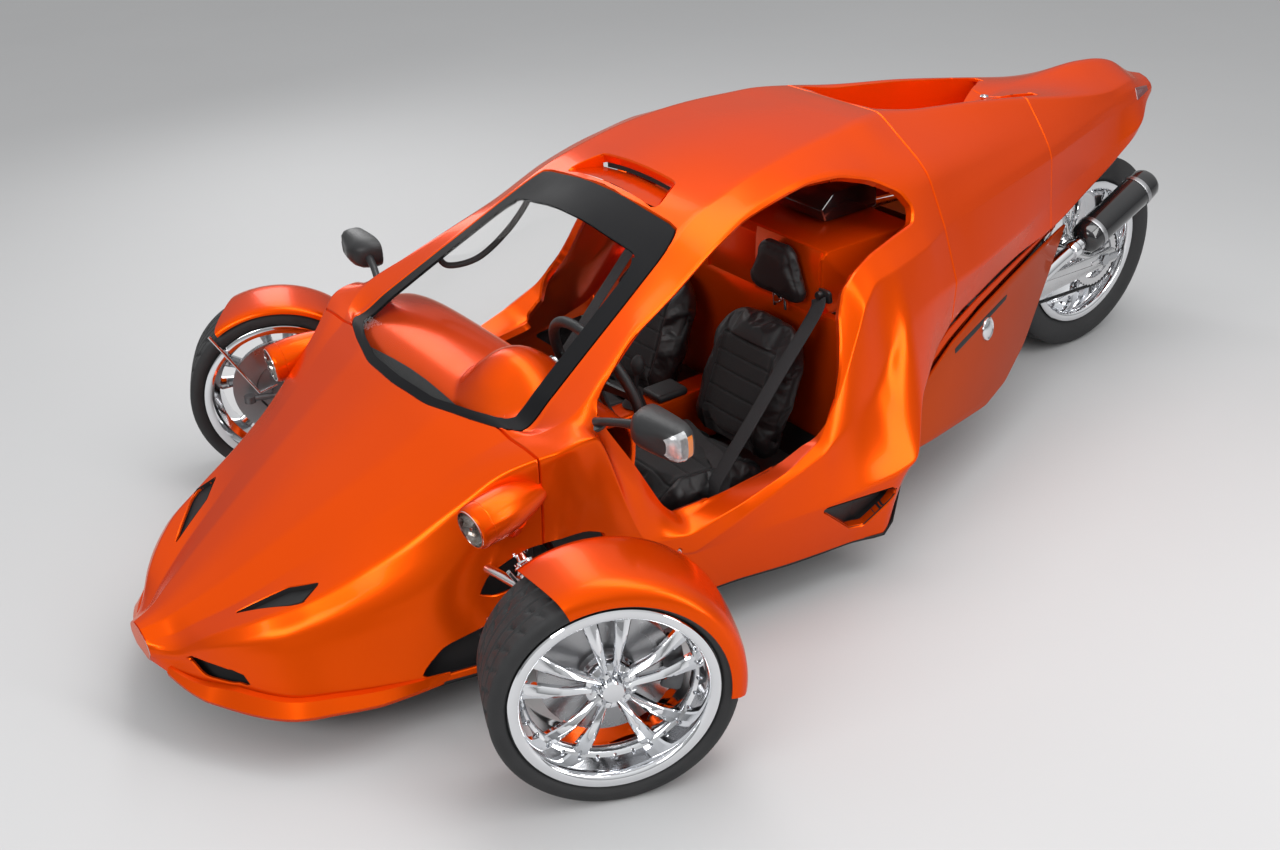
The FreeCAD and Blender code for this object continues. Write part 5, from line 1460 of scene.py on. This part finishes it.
def build_footwell():
    """Floor mats and the three pedals, each an arm and a pad with four ribs."""
    mats = [rounded_box(at(s * .26 - .19, .14, .1452), at(s * .26 + .19, .62, .1530), .0035, 3) for s in (-1, 1)]
    make("floor_mats", join(*mats), "carpet")
    pads = []
    for k in (-1, 0, 1):
        px = SEAT_X + k * .0736
        pads.append(tube([at(px, .236, .147), at(px, .208, .25)], .006, 12))
        pads.append(rounded_box(at(px - .0225, .198, .240), at(px + .0225, .212, .300), .005, 3))
        for j in range(4):
            pads.append(rounded_box(at(px - .018, .2115, .248 + j * .012), at(px + .018, .2140, .253 + j * .012),
                                    .0012, 2))
    make("pedal_set", join(*pads), "polished")


def build_steering():
    """Steering wheel, a torus with a boss and three spokes square to its column, and the far grab handle."""
    c, axis, u = at(*WHEEL_CENTRE), unit(np.array(WHEEL_AXIS)), np.array((1.0, .0, .0))
    w = np.cross(axis, u)
    t = np.linspace(0, 2 * np.pi, 72, endpoint=False)
    ring = tube(c + .165 * (np.cos(t)[:, None] * u + np.sin(t)[:, None] * w), .0138, 16, closed=True)
    spokes = []
    for ang in (.0, math.pi, -math.pi / 2):
        d = math.cos(ang) * u + math.sin(ang) * w
        e = np.cross(axis, d)
        rows = []
        for r, wide, lift in ((.030, .022, .010), (.070, .015, .008), (.120, .012, .002), (.158, .017, .0)):
            m = c + d * r + axis * lift
            rows.append(np.array([m + e * wide * i + axis * .0032 * j for i,
                                  j in ((1, 1), (-1, 1), (-1, -1), (1, -1))]))
        spokes.append(wrap(np.stack(rows), caps=True))
    make("steering_rim", ring, "leather", "steering_wheel", "steering_wheel", "grip_black", smooth=60)
    boss = turned([(0, 0), (0, .030), (.15, .036), (.6, .040), (.85, .036), (1, .024), (1, 0)], c - axis * .016,
                  c + axis * .024, 40)
    make("steering_spokes", join(boss, *spokes), "trim_black", "steering_wheel", slot="grip_black", smooth=30)

    shape = [(-.372, .632, .862), (-.352, .612, .842), (-.348, .540, .780), (-.358, .450, .725), (-.392, .375, .712),
             (-.425, .356, .738)]
    make("grab_loop", tube([at(*q) for q in shape], .0088, 16, smooth=8), "rubber")


# ---- recesses in the body ----------------------------------------------------------------------

def sampled(outline, step=.006):
    """Closed outline with points at most a step apart along its sides."""
    out = []
    for a, b in zip(outline, np.roll(outline, -1, axis=0)):
        n = max(1, int(np.linalg.norm(b - a) / step))
        out.append(a + (b - a) * np.linspace(0, 1, n, endpoint=False)[:, None])
    return np.concatenate(out)


def flank_x(y, z):
    """Half width of the lower flank at points y, z, between the floor edge and the flare crease."""
    return np.array([np.interp(b, row[:, 2], row[:, 0]) for b, row in zip(z, body_grid(y)[:, :14])])


def wall_between(top, bottom, rows=4):
    """Closed band of wall from one loop of points to another."""
    t = np.linspace(0, 1, rows)[:, None, None]
    return wrap(top[None] * (1 - t) + bottom[None] * t)


def loop_floor(loop):
    """Sheet over a closed loop: rings that shrink to its middle."""
    c = loop.mean(axis=0)
    t = np.array((0, .4, .75, .97))[:, None, None]
    v, f = wrap(loop[None] * (1 - t) + c * t)
    n = len(loop)
    return v, f + [list(range(3 * n, 4 * n))]


def build_deck_well():
    """Well between the rear crests: walls from the skin down to a flat floor, with a lock at its end."""
    line = sampled(sharp_outline(mirrored_outline(DECK_WELL)))
    z = surface_height(line[:, 0], line[:, 1])
    top = at(line[:, 0], line[:, 1], z - .001)
    low = top.copy()
    low[:, 2] = np.minimum(.8625, z - .004)
    make("deck_well", join(wall_between(top, low), loop_floor(low)), "candy_paint", smooth=25)
    c = at(0, 2.055, .0)
    c[2] = surface_height(.0, 2.055)[0]
    ring = turned([(0, 0), (0, .013), (.6, .014), (1, .012), (1, .007), (.7, .0065), (.7, 0)], c - (0, 0, .003),
                  c + (0, .0005, .0045), 32)
    make("deck_lock", ring, "chrome_dark", slot="spring_chrome")


def build_scoop():
    """Roof scoop: a ramp that sinks from the front to a black sheet under the roof, painted shade of the slot, between
    two wedges.
    """
    y0, y1, w0, w1, deep = .655, .748, .200, .158, .034
    u = np.linspace(-1, 1, 41)[None]
    t = np.linspace(0, 1, 14)[:, None]
    y = y0 + (y1 - y0) * t + 0 * u
    x = (w0 + (w1 - w0) * t) * u
    top = surface_height(x.ravel(), y.ravel()).reshape(x.shape)
    ramp = at(x, y, top - .0015 - deep * t)
    parts = [wrap(ramp, around=False)]
    for k in (0, -1):
        edge = wrap(np.stack([ramp[:, k], at(x[:, k], y[:, k], top[:, k] - .001)], axis=1), around=False)
        parts.append(edge if k else inside_out(edge))
    lip = np.stack([at(x[-1] * k, y[-1] + d, top[-1] - h)
                    for k, d, h in ((1, 0, .001), (1, 0, .006), (.98, .02, .007))])
    parts.append(wrap(lip, around=False))
    make("scoop_ramp", join(*parts), "candy_paint", smooth=25)
    # Painted shade: a black sheet stands for the shade inside the slot under the roof.
    slot = np.stack([at(x[-1], y[-1] + .014, top[-1] - h) for h in (.003, .040)])
    make("scoop_shade_sheet", wrap(slot, around=False), "liner_and_shade_black")


def build_recesses():
    """Side intakes with their ramps and the vents of the hood, each a band of black wall round a black floor, as
    painted shade of the deep opening.
    """
    for side in ("left", "right"):
        line = sampled(sharp_outline(SIDE_INTAKE))
        x = flank_x(line[:, 0], line[:, 1])
        top = at(x - .001, line[:, 0], line[:, 1])
        deep = .004 + .036 * np.clip((line[:, 0] - .79) / .12, 0, 1)
        low = top - np.stack([deep, 0 * deep, 0 * deep], axis=1)
        # Painted shade: black walls and a black floor stand for the shade deep inside the intake.
        make("intake_wall_" + side, on_side(wall_between(top, low), side), "liner_and_shade_black", smooth=25)
        make("intake_shade_floor_" + side, on_side(loop_floor(low + (.0015, 0, 0)), side), "liner_and_shade_black")
        line = sampled(sharp_outline(HOOD_VENT))
        z = surface_height(line[:, 0], line[:, 1])
        top = at(line[:, 0], line[:, 1], z - .001)
        low = top - (0, 0, .014)
        # Painted shade: black walls and a black floor stand for the shade deep inside the vent.
        make("vent_wall_" + side, on_side(wall_between(top, low), side), "liner_and_shade_black", smooth=25)
        make("vent_shade_floor_" + side, on_side(loop_floor(low), side), "liner_and_shade_black")


def build_chin():
    """Chin lip: a wedge section led along the floor edge round the nose."""
    places = np.concatenate([steps(-.715, -.60, .006), steps(-.59, -.20, .012)])
    edge = through(STATIONS, places)[:, :4]
    x, z = edge[:, 0], edge[:, 1]
    run = unit(np.stack([np.gradient(x), np.gradient(places)], axis=1))
    out = np.stack([run[:, 1], -run[:, 0]], axis=1)
    rise = np.interp(places, (-.715, -.62, -.20), (.022, .048, .026))
    wide = np.clip((-.20 - places) / .16, 0, 1) * np.interp(places, (-.715, -.66), (.35, 1))
    rows = []
    for o, low, high in ((-.004, -.002, 0), (.024, .002, 0), (.028, .012, 0), (.008, 0, 1.0), (-.006, 0, 1.05)):
        o = np.where(o > 0, o * wide - .003 * (1 - wide), o)
        rows.append(at(x + out[:, 0] * o, np.maximum(places + out[:, 1] * o, -.7385), z + low + rise * high))
    half = wrap(np.stack(rows, axis=1), caps=True)
    make("chin_lip", join(half, flipped(half)), "candy_paint", smooth=25)


# ---- outside fittings --------------------------------------------------------------------------

def pair(part):
    """A part and its mirror image as one."""
    return join(part, flipped(part))


def build_lamps():
    """Bullet headlamp pods with a seam and a bezel, reflector and clear lens inside, and the tail lamps."""
    c = at(.537, -.118, .514)
    axis = unit(np.array((-.1, 1.0, .12)))
    r = .052
    skin = [(-.07, .90), (-.04, .935), (.05, .985), (.16, 1.01), (.50, 1.035), (.52, 1.022), (.56, 1.022),
            (.58, 1.038), (.80, 1.05), (1.25, 1.05), (1.70, 1.03), (2.15, .98), (2.60, .90), (3.00, .80),
            (3.40, .68), (3.80, .55), (4.20, .40), (4.55, .26), (4.80, .14), (4.95, .0)]
    bowl = [(.5, 0), (.48, .3), (.40, .60), (.22, .78), (.0, .845), (-.06, .86)]
    pod = lathe(np.array(skin + bowl) * r, c, axis, 72)
    top = at(.532, -.004, .493)
    stem = tube([top, at(.490, .004, .440), at(.430, .017, .373)], [.026, .024, .020], 20)
    make("lamp_pods", pair(join(pod, stem)), "candy_paint", node=("headlamp_pod_left", "headlamp_pod_right"), smooth=28)
    make("lamp_bezels", pair(lathe(np.array([(-.095, .84), (-.095, .89), (-.06, .905), (-.02, .885), (-.02, .84),
                                             (-.095, .84)]) * r, c, axis, 72)), "chrome")
    cup = [(.48, 0), (.47, .12), (.43, .36), (.33, .58), (.17, .74), (.0, .83), (-.03, .84), (-.01, .85), (.18, .76),
           (.35, .60), (.45, .37), (.50, .12), (.51, 0)]
    bulb = turned([(0, 0), (0, .004), (.4, .007), (.8, .009), (1, .006), (1, 0)], c - axis * .002, c + axis * .024, 24)
    make("lamp_reflectors", pair(join(lathe(np.array(cup) * r, c, axis, 64), bulb)), "reflector")
    dome = [(-.06, .845), (-.13, .72), (-.20, .50), (-.24, .26), (-.25, .0), (-.19, .0), (-.18, .26), (-.14, .50),
            (-.07, .71), (-.02, .835)]
    make("lamp_lenses", pair(lathe(np.array(dome) * r, c, axis, 64)), "lamp_glass",
         node=("headlamp_left", "headlamp_right"))
    p = body_grid(steps(2.655, 2.775, .004))
    cols = slice(0, p.shape[1] // 2)
    p = (p + normals(p) * .0012)[:, cols]
    s = -side_distance(p, sharp_outline([(2.662, .809), (2.768, .813), (2.768, .829), (2.662, .848)]))
    v, f = shell(*trimmed(p, s), .010, lip=.0015)
    make("rear_lamps", pair((v, f.tolist())), "lens_red", node="tail_lamps")


def build_mirrors():
    """Door mirrors: a rounded housing with a clear lens across its front, glass behind and an arm that
    stands on a leaf-shaped foot."""
    t = np.array((0, .04, .14, .35, .62, .86, .97, 1.0))
    wide = np.array((.030, .048, .066, .080, .086, .086, .0845, .081))
    high = np.array((.012, .022, .033, .042, .0455, .0455, .0440, .0405))
    a = np.linspace(0, 2 * np.pi, 48, endpoint=False)
    c, s = np.sign(np.cos(a)) * np.abs(np.cos(a)) ** .5, np.sign(np.sin(a)) * np.abs(np.sin(a)) ** .62
    x = .722 + wide[:, None] * c + .012 * (1 - t)[:, None]
    z = .692 + high[:, None] * s
    p = at(x, .226 + .072 * t[:, None] + .010 * c[None] * (1 - t)[:, None], z)
    rows = [p]
    back = p[-1]
    for k, d in ((.93, .0), (.92, -.007)):
        q = back.mean(axis=0) + (back - back.mean(axis=0)) * k
        q[:, 1] += d
        rows.append(q[None])
    housing = wrap(np.concatenate(rows), caps=True)
    arm = tube([at(.665, .262, .690), at(.600, .246, .676), at(.552, .230, .664), at(.528, .222, .652)],
               [.013, .010, .010, .016], 20, smooth=6)
    leaf = [(-.034, -.010), (-.020, -.020), (.010, -.018), (.036, .000), (.012, .016), (-.020, .018)]
    foot = prism(leaf, at(.536, .224, .648), unit(np.array((.25, .96, .1))), unit(np.array((-.9, .25, .35))), .012,
                 .003, .3)
    make("mirror_housings", pair(join(housing, arm, foot)), "trim_black", node=("mirror_left", "mirror_right"),
         smooth=40)
    glass = back.mean(axis=0) + (back - back.mean(axis=0)) * .915
    glass[:, 1] -= .0055
    plate = np.stack([glass, glass - (0, .002, 0)])
    make("mirror_glasses", pair(wrap(plate[::-1], caps=True)), "mirror_silver")
    for name, first, last, edge, tone in (("mirror_lens", 1, 5, 6, "lens_pale"),
                                          ("mirror_amber", 3, 6, 3, "lens_amber")):
        band = np.concatenate([p[first:last, -edge:], p[first:last, :edge + 1]], axis=1)
        band = band + unit(band - p.reshape(-1, 3).mean(axis=0)) * .0012
        make(name, pair(wrap(band, around=False)), tone)


def on_cover(y, z, inward=.0):
    """Point of the side cover's outer plane, or that much inside it."""
    return at(.560 - .335 * (y - 1.290) + .12 * (.400 - z) - inward, y, z)


def plate_on_cover(outline, thick, inward, bevel=.003, corner=.12):
    """Flat plate parallel to the side cover, over an outline in side view."""
    rings = plate_rings(outline, thick, bevel, corner)
    return wrap(np.stack([[on_cover(y, z, inward + h) for y, z in q] for q, h in rings]), caps=True)


def build_covers():
    """Flat side covers under the tapered flanks, with a lighter flange above, a dark slot and a cap."""
    make("flank_covers", pair(plate_on_cover(COVER, .010, .0)), "cover_paint",
         node=("side_cover_left", "side_cover_right"), smooth=25)
    upper = [(1.172, .399), (1.290, .439), (1.420, .474), (1.600, .499), (1.850, .519), (2.150, .539), (2.165, .552),
             (1.850, .536), (1.600, .520), (1.420, .500), (1.290, .462), (1.170, .418)]
    make("cover_flanges", pair(plate_on_cover(upper, .006, .016, .0015, .1)), "candy_paint", smooth=25)
    slot = [(1.430, .432), (1.760, .462), (1.770, .476), (1.430, .450)]
    make("cover_slots", pair(plate_on_cover(slot, .002, -.0008, .0006, .15)), "liner_and_shade_black")
    c = on_cover(1.629, .426)
    d = unit(np.array((1.0, .335, .12)))
    ring = lathe([(-.004, .0), (-.004, .034), (.003, .035), (.007, .033), (.009, .029), (.007, .025), (.009, .021),
                  (.012, .012), (.013, .0)], c, d, 56)
    make("cover_caps", pair(ring), "chrome")


def build_exhaust():
    """Black silencer with two steel straps and a hollow end, and the polished pipe that leads to it."""
    a, b = at(.236, 2.285, .450), at(.236, 2.600, .583)
    can = turned([(0, 0), (0, .026), (.015, .034), (.045, .047), (.075, .0515), (.30, .052), (.90, .052),
                  (.955, .050), (.985, .044), (1.0, .038), (.985, .030), (.90, .028), (.70, .027), (.70, 0)], a, b, 64)
    make("silencer", can, "gloss_black", node="exhaust", slot="exhaust_black", smooth=40)
    straps = [turned([(0, .0518), (0, .0536), (.15, .0542), (.85, .0542), (1, .0536), (1, .0518)], a + (b - a) * t,
                     a + (b - a) * (t + .045), 64) for t in (.16, .80)]
    lug = prism([(-.018, 0), (.018, 0), (.014, .05), (-.014, .05)], a + (b - a) * .48 + np.array((-.058, 0, .0)),
                (0, 1, 0), (0, -.3, .95), .006, .0015, .2)
    make("silencer_straps", join(*straps, lug), "steel", smooth=40)
    path = [at(.150, 1.800, .262), at(.205, 1.905, .262), at(.232, 1.985, .300), at(.240, 2.070, .365),
            at(.238, 2.170, .410), at(.236, 2.290, .452)]
    pipe = tube(path, .0215, 28, smooth=10)
    collar = pin(at(.2385, 2.235, .4325), at(.2375, 2.262, .4425), .026, .0285, .2, 40)
    make("exhaust_pipe", join(pipe, collar), "chrome", smooth=40)


def build_rear_drive():
    """Swing arm of two flat bars with bevelled ends, its brace tubes, pivot and axle nuts, and the belt."""
    line = [(1.924, .259), (1.936, .256), (2.545, .303), (2.556, .314), (2.535, .353), (1.936, .344), (1.924, .340)]
    bar = slab(line, .164, .024, .004, .06)
    slot = slab([(2.42, .318), (2.505, .322), (2.505, .336), (2.42, .333)], .1875, .003, .001, .3)
    brace = tube([at(.176, 2.084, .318), at(.176, 2.150, .368), at(.176, 2.208, .424), at(.176, 2.255, .426),
                  at(.176, 2.330, .384), at(.176, 2.430, .340)], .0098, 18, smooth=6)
    bars = pair(join(bar, slot, brace))
    pivot = pin(at(-.163, 1.960, .300), at(.163, 1.960, .300), .018, .022, .02, 32)
    axle = pin(at(-.199, 2.480, .328), at(.199, 2.480, .328), .0125, .0136, .01)
    make("swing_arm_bars", join(bars, pivot, axle), "polished", node="swing_arm", smooth=30)
    nuts = []
    for s in (-1, 1):
        for y, z, r, x0, x1 in ((2.480, .328, .021, .1885, .200), (1.960, .300, .019, .1885, .198)):
            t = np.linspace(0, 2 * np.pi, 6, endpoint=False)
            hexagon = [(r * math.cos(k), r * math.sin(k)) for k in t]
            nuts.append(prism(hexagon, at(s * x0 if s > 0 else -x1, y, z), (0, 1, 0), (0, 0, 1), x1 - x0, .0015))
        nuts.append(prism([(-.012, -.010), (.030, -.010), (.030, .010), (-.012, .010)],
                          at(s * .189 - (.006 if s < 0 else 0), 2.515, .328), (0, 1, 0), (0, 0, 1), .006, .001, .1))
    make("axle_nuts", join(*nuts), "chrome_dark", slot="polished_alloy", smooth=25)
    big, small = np.array((2.480, .328)), np.array((1.905, .300))
    run = small - big
    base = math.atan2(run[1], run[0])
    lean = math.acos((.1035 - .048) / np.linalg.norm(run))
    path = []
    for c, r, a0, a1 in ((big, .1035, base + lean, base + 2 * math.pi - lean), (small, .048, base - lean, base + lean)):
        for k in np.linspace(a0, a1, 60):
            path.append(c + r * np.array((math.cos(k), math.sin(k))))
    path = sampled(np.array(path), .012)
    t = unit(np.roll(path, -1, axis=0) - np.roll(path, 1, axis=0))
    out = np.stack([t[:, 1], -t[:, 0]], axis=1)
    p = np.stack([at(x, path[:, 0] + out[:, 0] * d, path[:, 1] + out[:, 1] * d)
                  for x, d in ((.1425, .0), (.1575, .0), (.1575, .0035), (.1425, .0035))], axis=1)
    p = np.concatenate([p, p[:1]])
    make("drive_belt", wrap(p), "rubber", slot="tyre", smooth=40)


def build_cradle():
    """Rear cradle: tubes from the bulkhead to the engine and on to the tail, and the covers' two arms."""
    parts = []
    for low, high, r in (
        (at(.141, 1.089, .300), at(.141, 1.510, .300), .019), (at(.141, 1.089, .600), at(.141, 1.500, .600), .019),
        (at(.141, 1.890, .300), at(.141, 1.944, .300), .019), (at(.141, 1.870, .600), at(.141, 2.025, .832), .014),
        (at(.190, 1.630, .4265), at(.438, 1.630, .4265), .012), (at(.190, 1.802, .340), at(.386, 1.802, .340), .012),
    ):
        parts.append(pin(low, high, r * .8, r, .01, 24))
    make("cradle_tubes", pair(join(*parts)), "frame_black", node="rear_cradle", smooth=40)


def build_engine():
    """Engine and gearbox block with finned barrel, round side cases and rocker cover on its casing."""
    lo = at(-.205, 1.482, .190)
    parts = [rounded_box(lo + (.020, .02, 0), at(.185, 1.890, .400), .030, 5)]
    for k in range(9):
        parts.append(rounded_box(at(-.130, 1.530, .400 + k * .0165), at(.130, 1.760, .4085 + k * .0165), .004, 2))
    parts.append(rounded_box(at(-.112, 1.545, .395), at(.112, 1.745, .560), .012, 3))
    parts.append(rounded_box(at(-.140, 1.520, .550), at(.140, 1.770, .612), .022, 4))
    for s in (-1, 1):
        for y, z, r in ((1.610, .300, .085), (1.800, .290, .070)):
            parts.append(turned([(0, 0), (0, r), (.5, r), (.8, r * .95), (1, r * .82), (1, r * .60), (.92, r * .55),
                                 (.92, 0)], at(s * .180, y, z), at(s * .2045, y, z), 48))
    make("engine_cases", join(*parts), "engine_grey", node="engine_block", smooth=35)


NODE_FINISH = {
    "seat_base_left": "frame_black", "seat_base_right": "frame_black", "steering_column": "frame_black",
    "steering_rack": "steel", "front_frame": "frame_black", "fender_stays_left": "polished",
    "fender_stays_right": "polished", "upright_left": "cast", "upright_right": "cast",
}


def dress_nodes():
    """Give the plain pieces that show their own finish."""
    for name, finish in NODE_FINISH.items():
        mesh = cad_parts[name].data
        mesh.materials.clear()
        mesh.materials.append(MATERIALS[finish])


# ---- add-on ------------------------------------------------------------------------------------

class CoupeSizes(bpy.types.PropertyGroup):
    """Sizes and tones that the operators read."""

    panel_step: bpy.props.FloatProperty(
        name="Panel step", description="Distance between rows of a body panel", default=.010, min=.004, max=.03,
        unit="LENGTH", subtype="DISTANCE")
    floor_tone: bpy.props.FloatProperty(
        name="Floor tone", description="Brightness of the studio floor", default=.95, min=.0, max=1.0)
    lamp_power: bpy.props.FloatProperty(
        name="Lamp power", description="Power of the soft boxes in watts", default=250.0, min=1.0)


class Builder:
    """What the operators share: they run their builders in order."""

    def execute(self, context):
        for build in self.builders:
            build()
        return {"FINISHED"}


class COUPE_OT_materials(Builder, bpy.types.Operator):
    """Make every material of the car and the studio"""

    bl_idname, bl_label = "coupe.materials", "Materials"
    builders = (build_materials,)


class COUPE_OT_body(bpy.types.Operator):
    """Make the nose, cabin and tail panels, the windscreen and the underside"""

    bl_idname, bl_label = "coupe.body", "Bodywork"

    def execute(self, context):
        for build in (build_nose, build_cabin, build_rear, build_screen):
            build(context.scene.coupe_sizes.panel_step)
        build_underside()
        return {"FINISHED"}


class COUPE_OT_wheels(Builder, bpy.types.Operator):
    """Make the tyres, rims, discs, calipers and the belt pulley"""

    bl_idname, bl_label = "coupe.wheels", "Wheels"
    builders = (build_wheels,)


class COUPE_OT_fenders(Builder, bpy.types.Operator):
    """Make the two cycle fenders"""

    bl_idname, bl_label = "coupe.fenders", "Fenders"
    builders = (build_fenders,)


class COUPE_OT_suspension(Builder, bpy.types.Operator):
    """Make the wishbones and the spring units"""

    bl_idname, bl_label = "coupe.suspension", "Suspension"
    builders = (build_suspension,)


class COUPE_OT_seats(Builder, bpy.types.Operator):
    """Make the two padded bucket seats and their headrests"""

    bl_idname, bl_label = "coupe.seats", "Seats"
    builders = (build_seats,)


class COUPE_OT_belts(Builder, bpy.types.Operator):
    """Make the three point belts and their fittings"""

    bl_idname, bl_label = "coupe.belts", "Belts"
    builders = (build_belts,)


class COUPE_OT_interior(Builder, bpy.types.Operator):
    """Make the dash, tunnel, bulkhead, pedals, steering wheel and handle"""

    bl_idname, bl_label = "coupe.interior", "Interior"
    builders = (build_dash, build_tunnel, build_bulkhead, build_footwell, build_steering)


class COUPE_OT_recesses(Builder, bpy.types.Operator):
    """Make the deck well, the roof scoop, the intakes, the vents and the chin lip"""

    bl_idname, bl_label = "coupe.recesses", "Recesses"
    builders = (build_deck_well, build_scoop, build_recesses, build_chin)


class COUPE_OT_fittings(Builder, bpy.types.Operator):
    """Make the lamps, mirrors and side covers"""

    bl_idname, bl_label = "coupe.fittings", "Outside fittings"
    builders = (build_lamps, build_mirrors, build_covers)


class COUPE_OT_drive(Builder, bpy.types.Operator):
    """Make the silencer, the swing arm, the belt and the engine"""

    bl_idname, bl_label = "coupe.drive", "Drive"
    builders = (build_exhaust, build_rear_drive, build_cradle, build_engine, dress_nodes)


class COUPE_OT_stage(bpy.types.Operator):
    """Make the studio floor, the soft boxes and the camera at the photo's view"""

    bl_idname, bl_label = "coupe.stage", "Studio"

    def execute(self, context):
        sizes = context.scene.coupe_sizes
        build_stage(sizes.floor_tone, sizes.lamp_power)
        return {"FINISHED"}


class COUPE_PT_panel(bpy.types.Panel):
    """Sidebar panel with the sizes and one button for each operator"""

    bl_idname = "COUPE_PT_panel"
    bl_label = "Three Wheeled Coupe"
    bl_space_type = "VIEW_3D"
    bl_region_type = "UI"
    bl_category = "Coupe"

    def draw(self, context):
        sizes = context.scene.coupe_sizes
        for name in ("panel_step", "floor_tone", "lamp_power"):
            self.layout.prop(sizes, name)
        for cls in OPERATORS:
            self.layout.operator(cls.bl_idname)


OPERATORS = (
    COUPE_OT_materials,
    COUPE_OT_body,
    COUPE_OT_wheels,
    COUPE_OT_fenders,
    COUPE_OT_suspension,
    COUPE_OT_seats,
    COUPE_OT_belts,
    COUPE_OT_interior,
    COUPE_OT_recesses,
    COUPE_OT_fittings,
    COUPE_OT_drive,
    COUPE_OT_stage,
)


def register():
    """Register the sizes, the operators and the panel."""
    for cls in (CoupeSizes, *OPERATORS, COUPE_PT_panel):
        bpy.utils.register_class(cls)
    bpy.types.Scene.coupe_sizes = bpy.props.PointerProperty(type=CoupeSizes)


def unregister():
    """Take back what register did."""
    del bpy.types.Scene.coupe_sizes
    for cls in reversed((CoupeSizes, *OPERATORS, COUPE_PT_panel)):
        bpy.utils.unregister_class(cls)


def main():
    """Register the add-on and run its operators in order."""
    register()
    for cls in OPERATORS:
        name = cls.bl_idname.split(".")[1]
        if getattr(bpy.ops.coupe, name)() != {"FINISHED"}:
            raise RuntimeError("operator " + cls.bl_idname + " failed")
    bpy.context.view_layer.update()


if __name__ == "__main__":
    main()
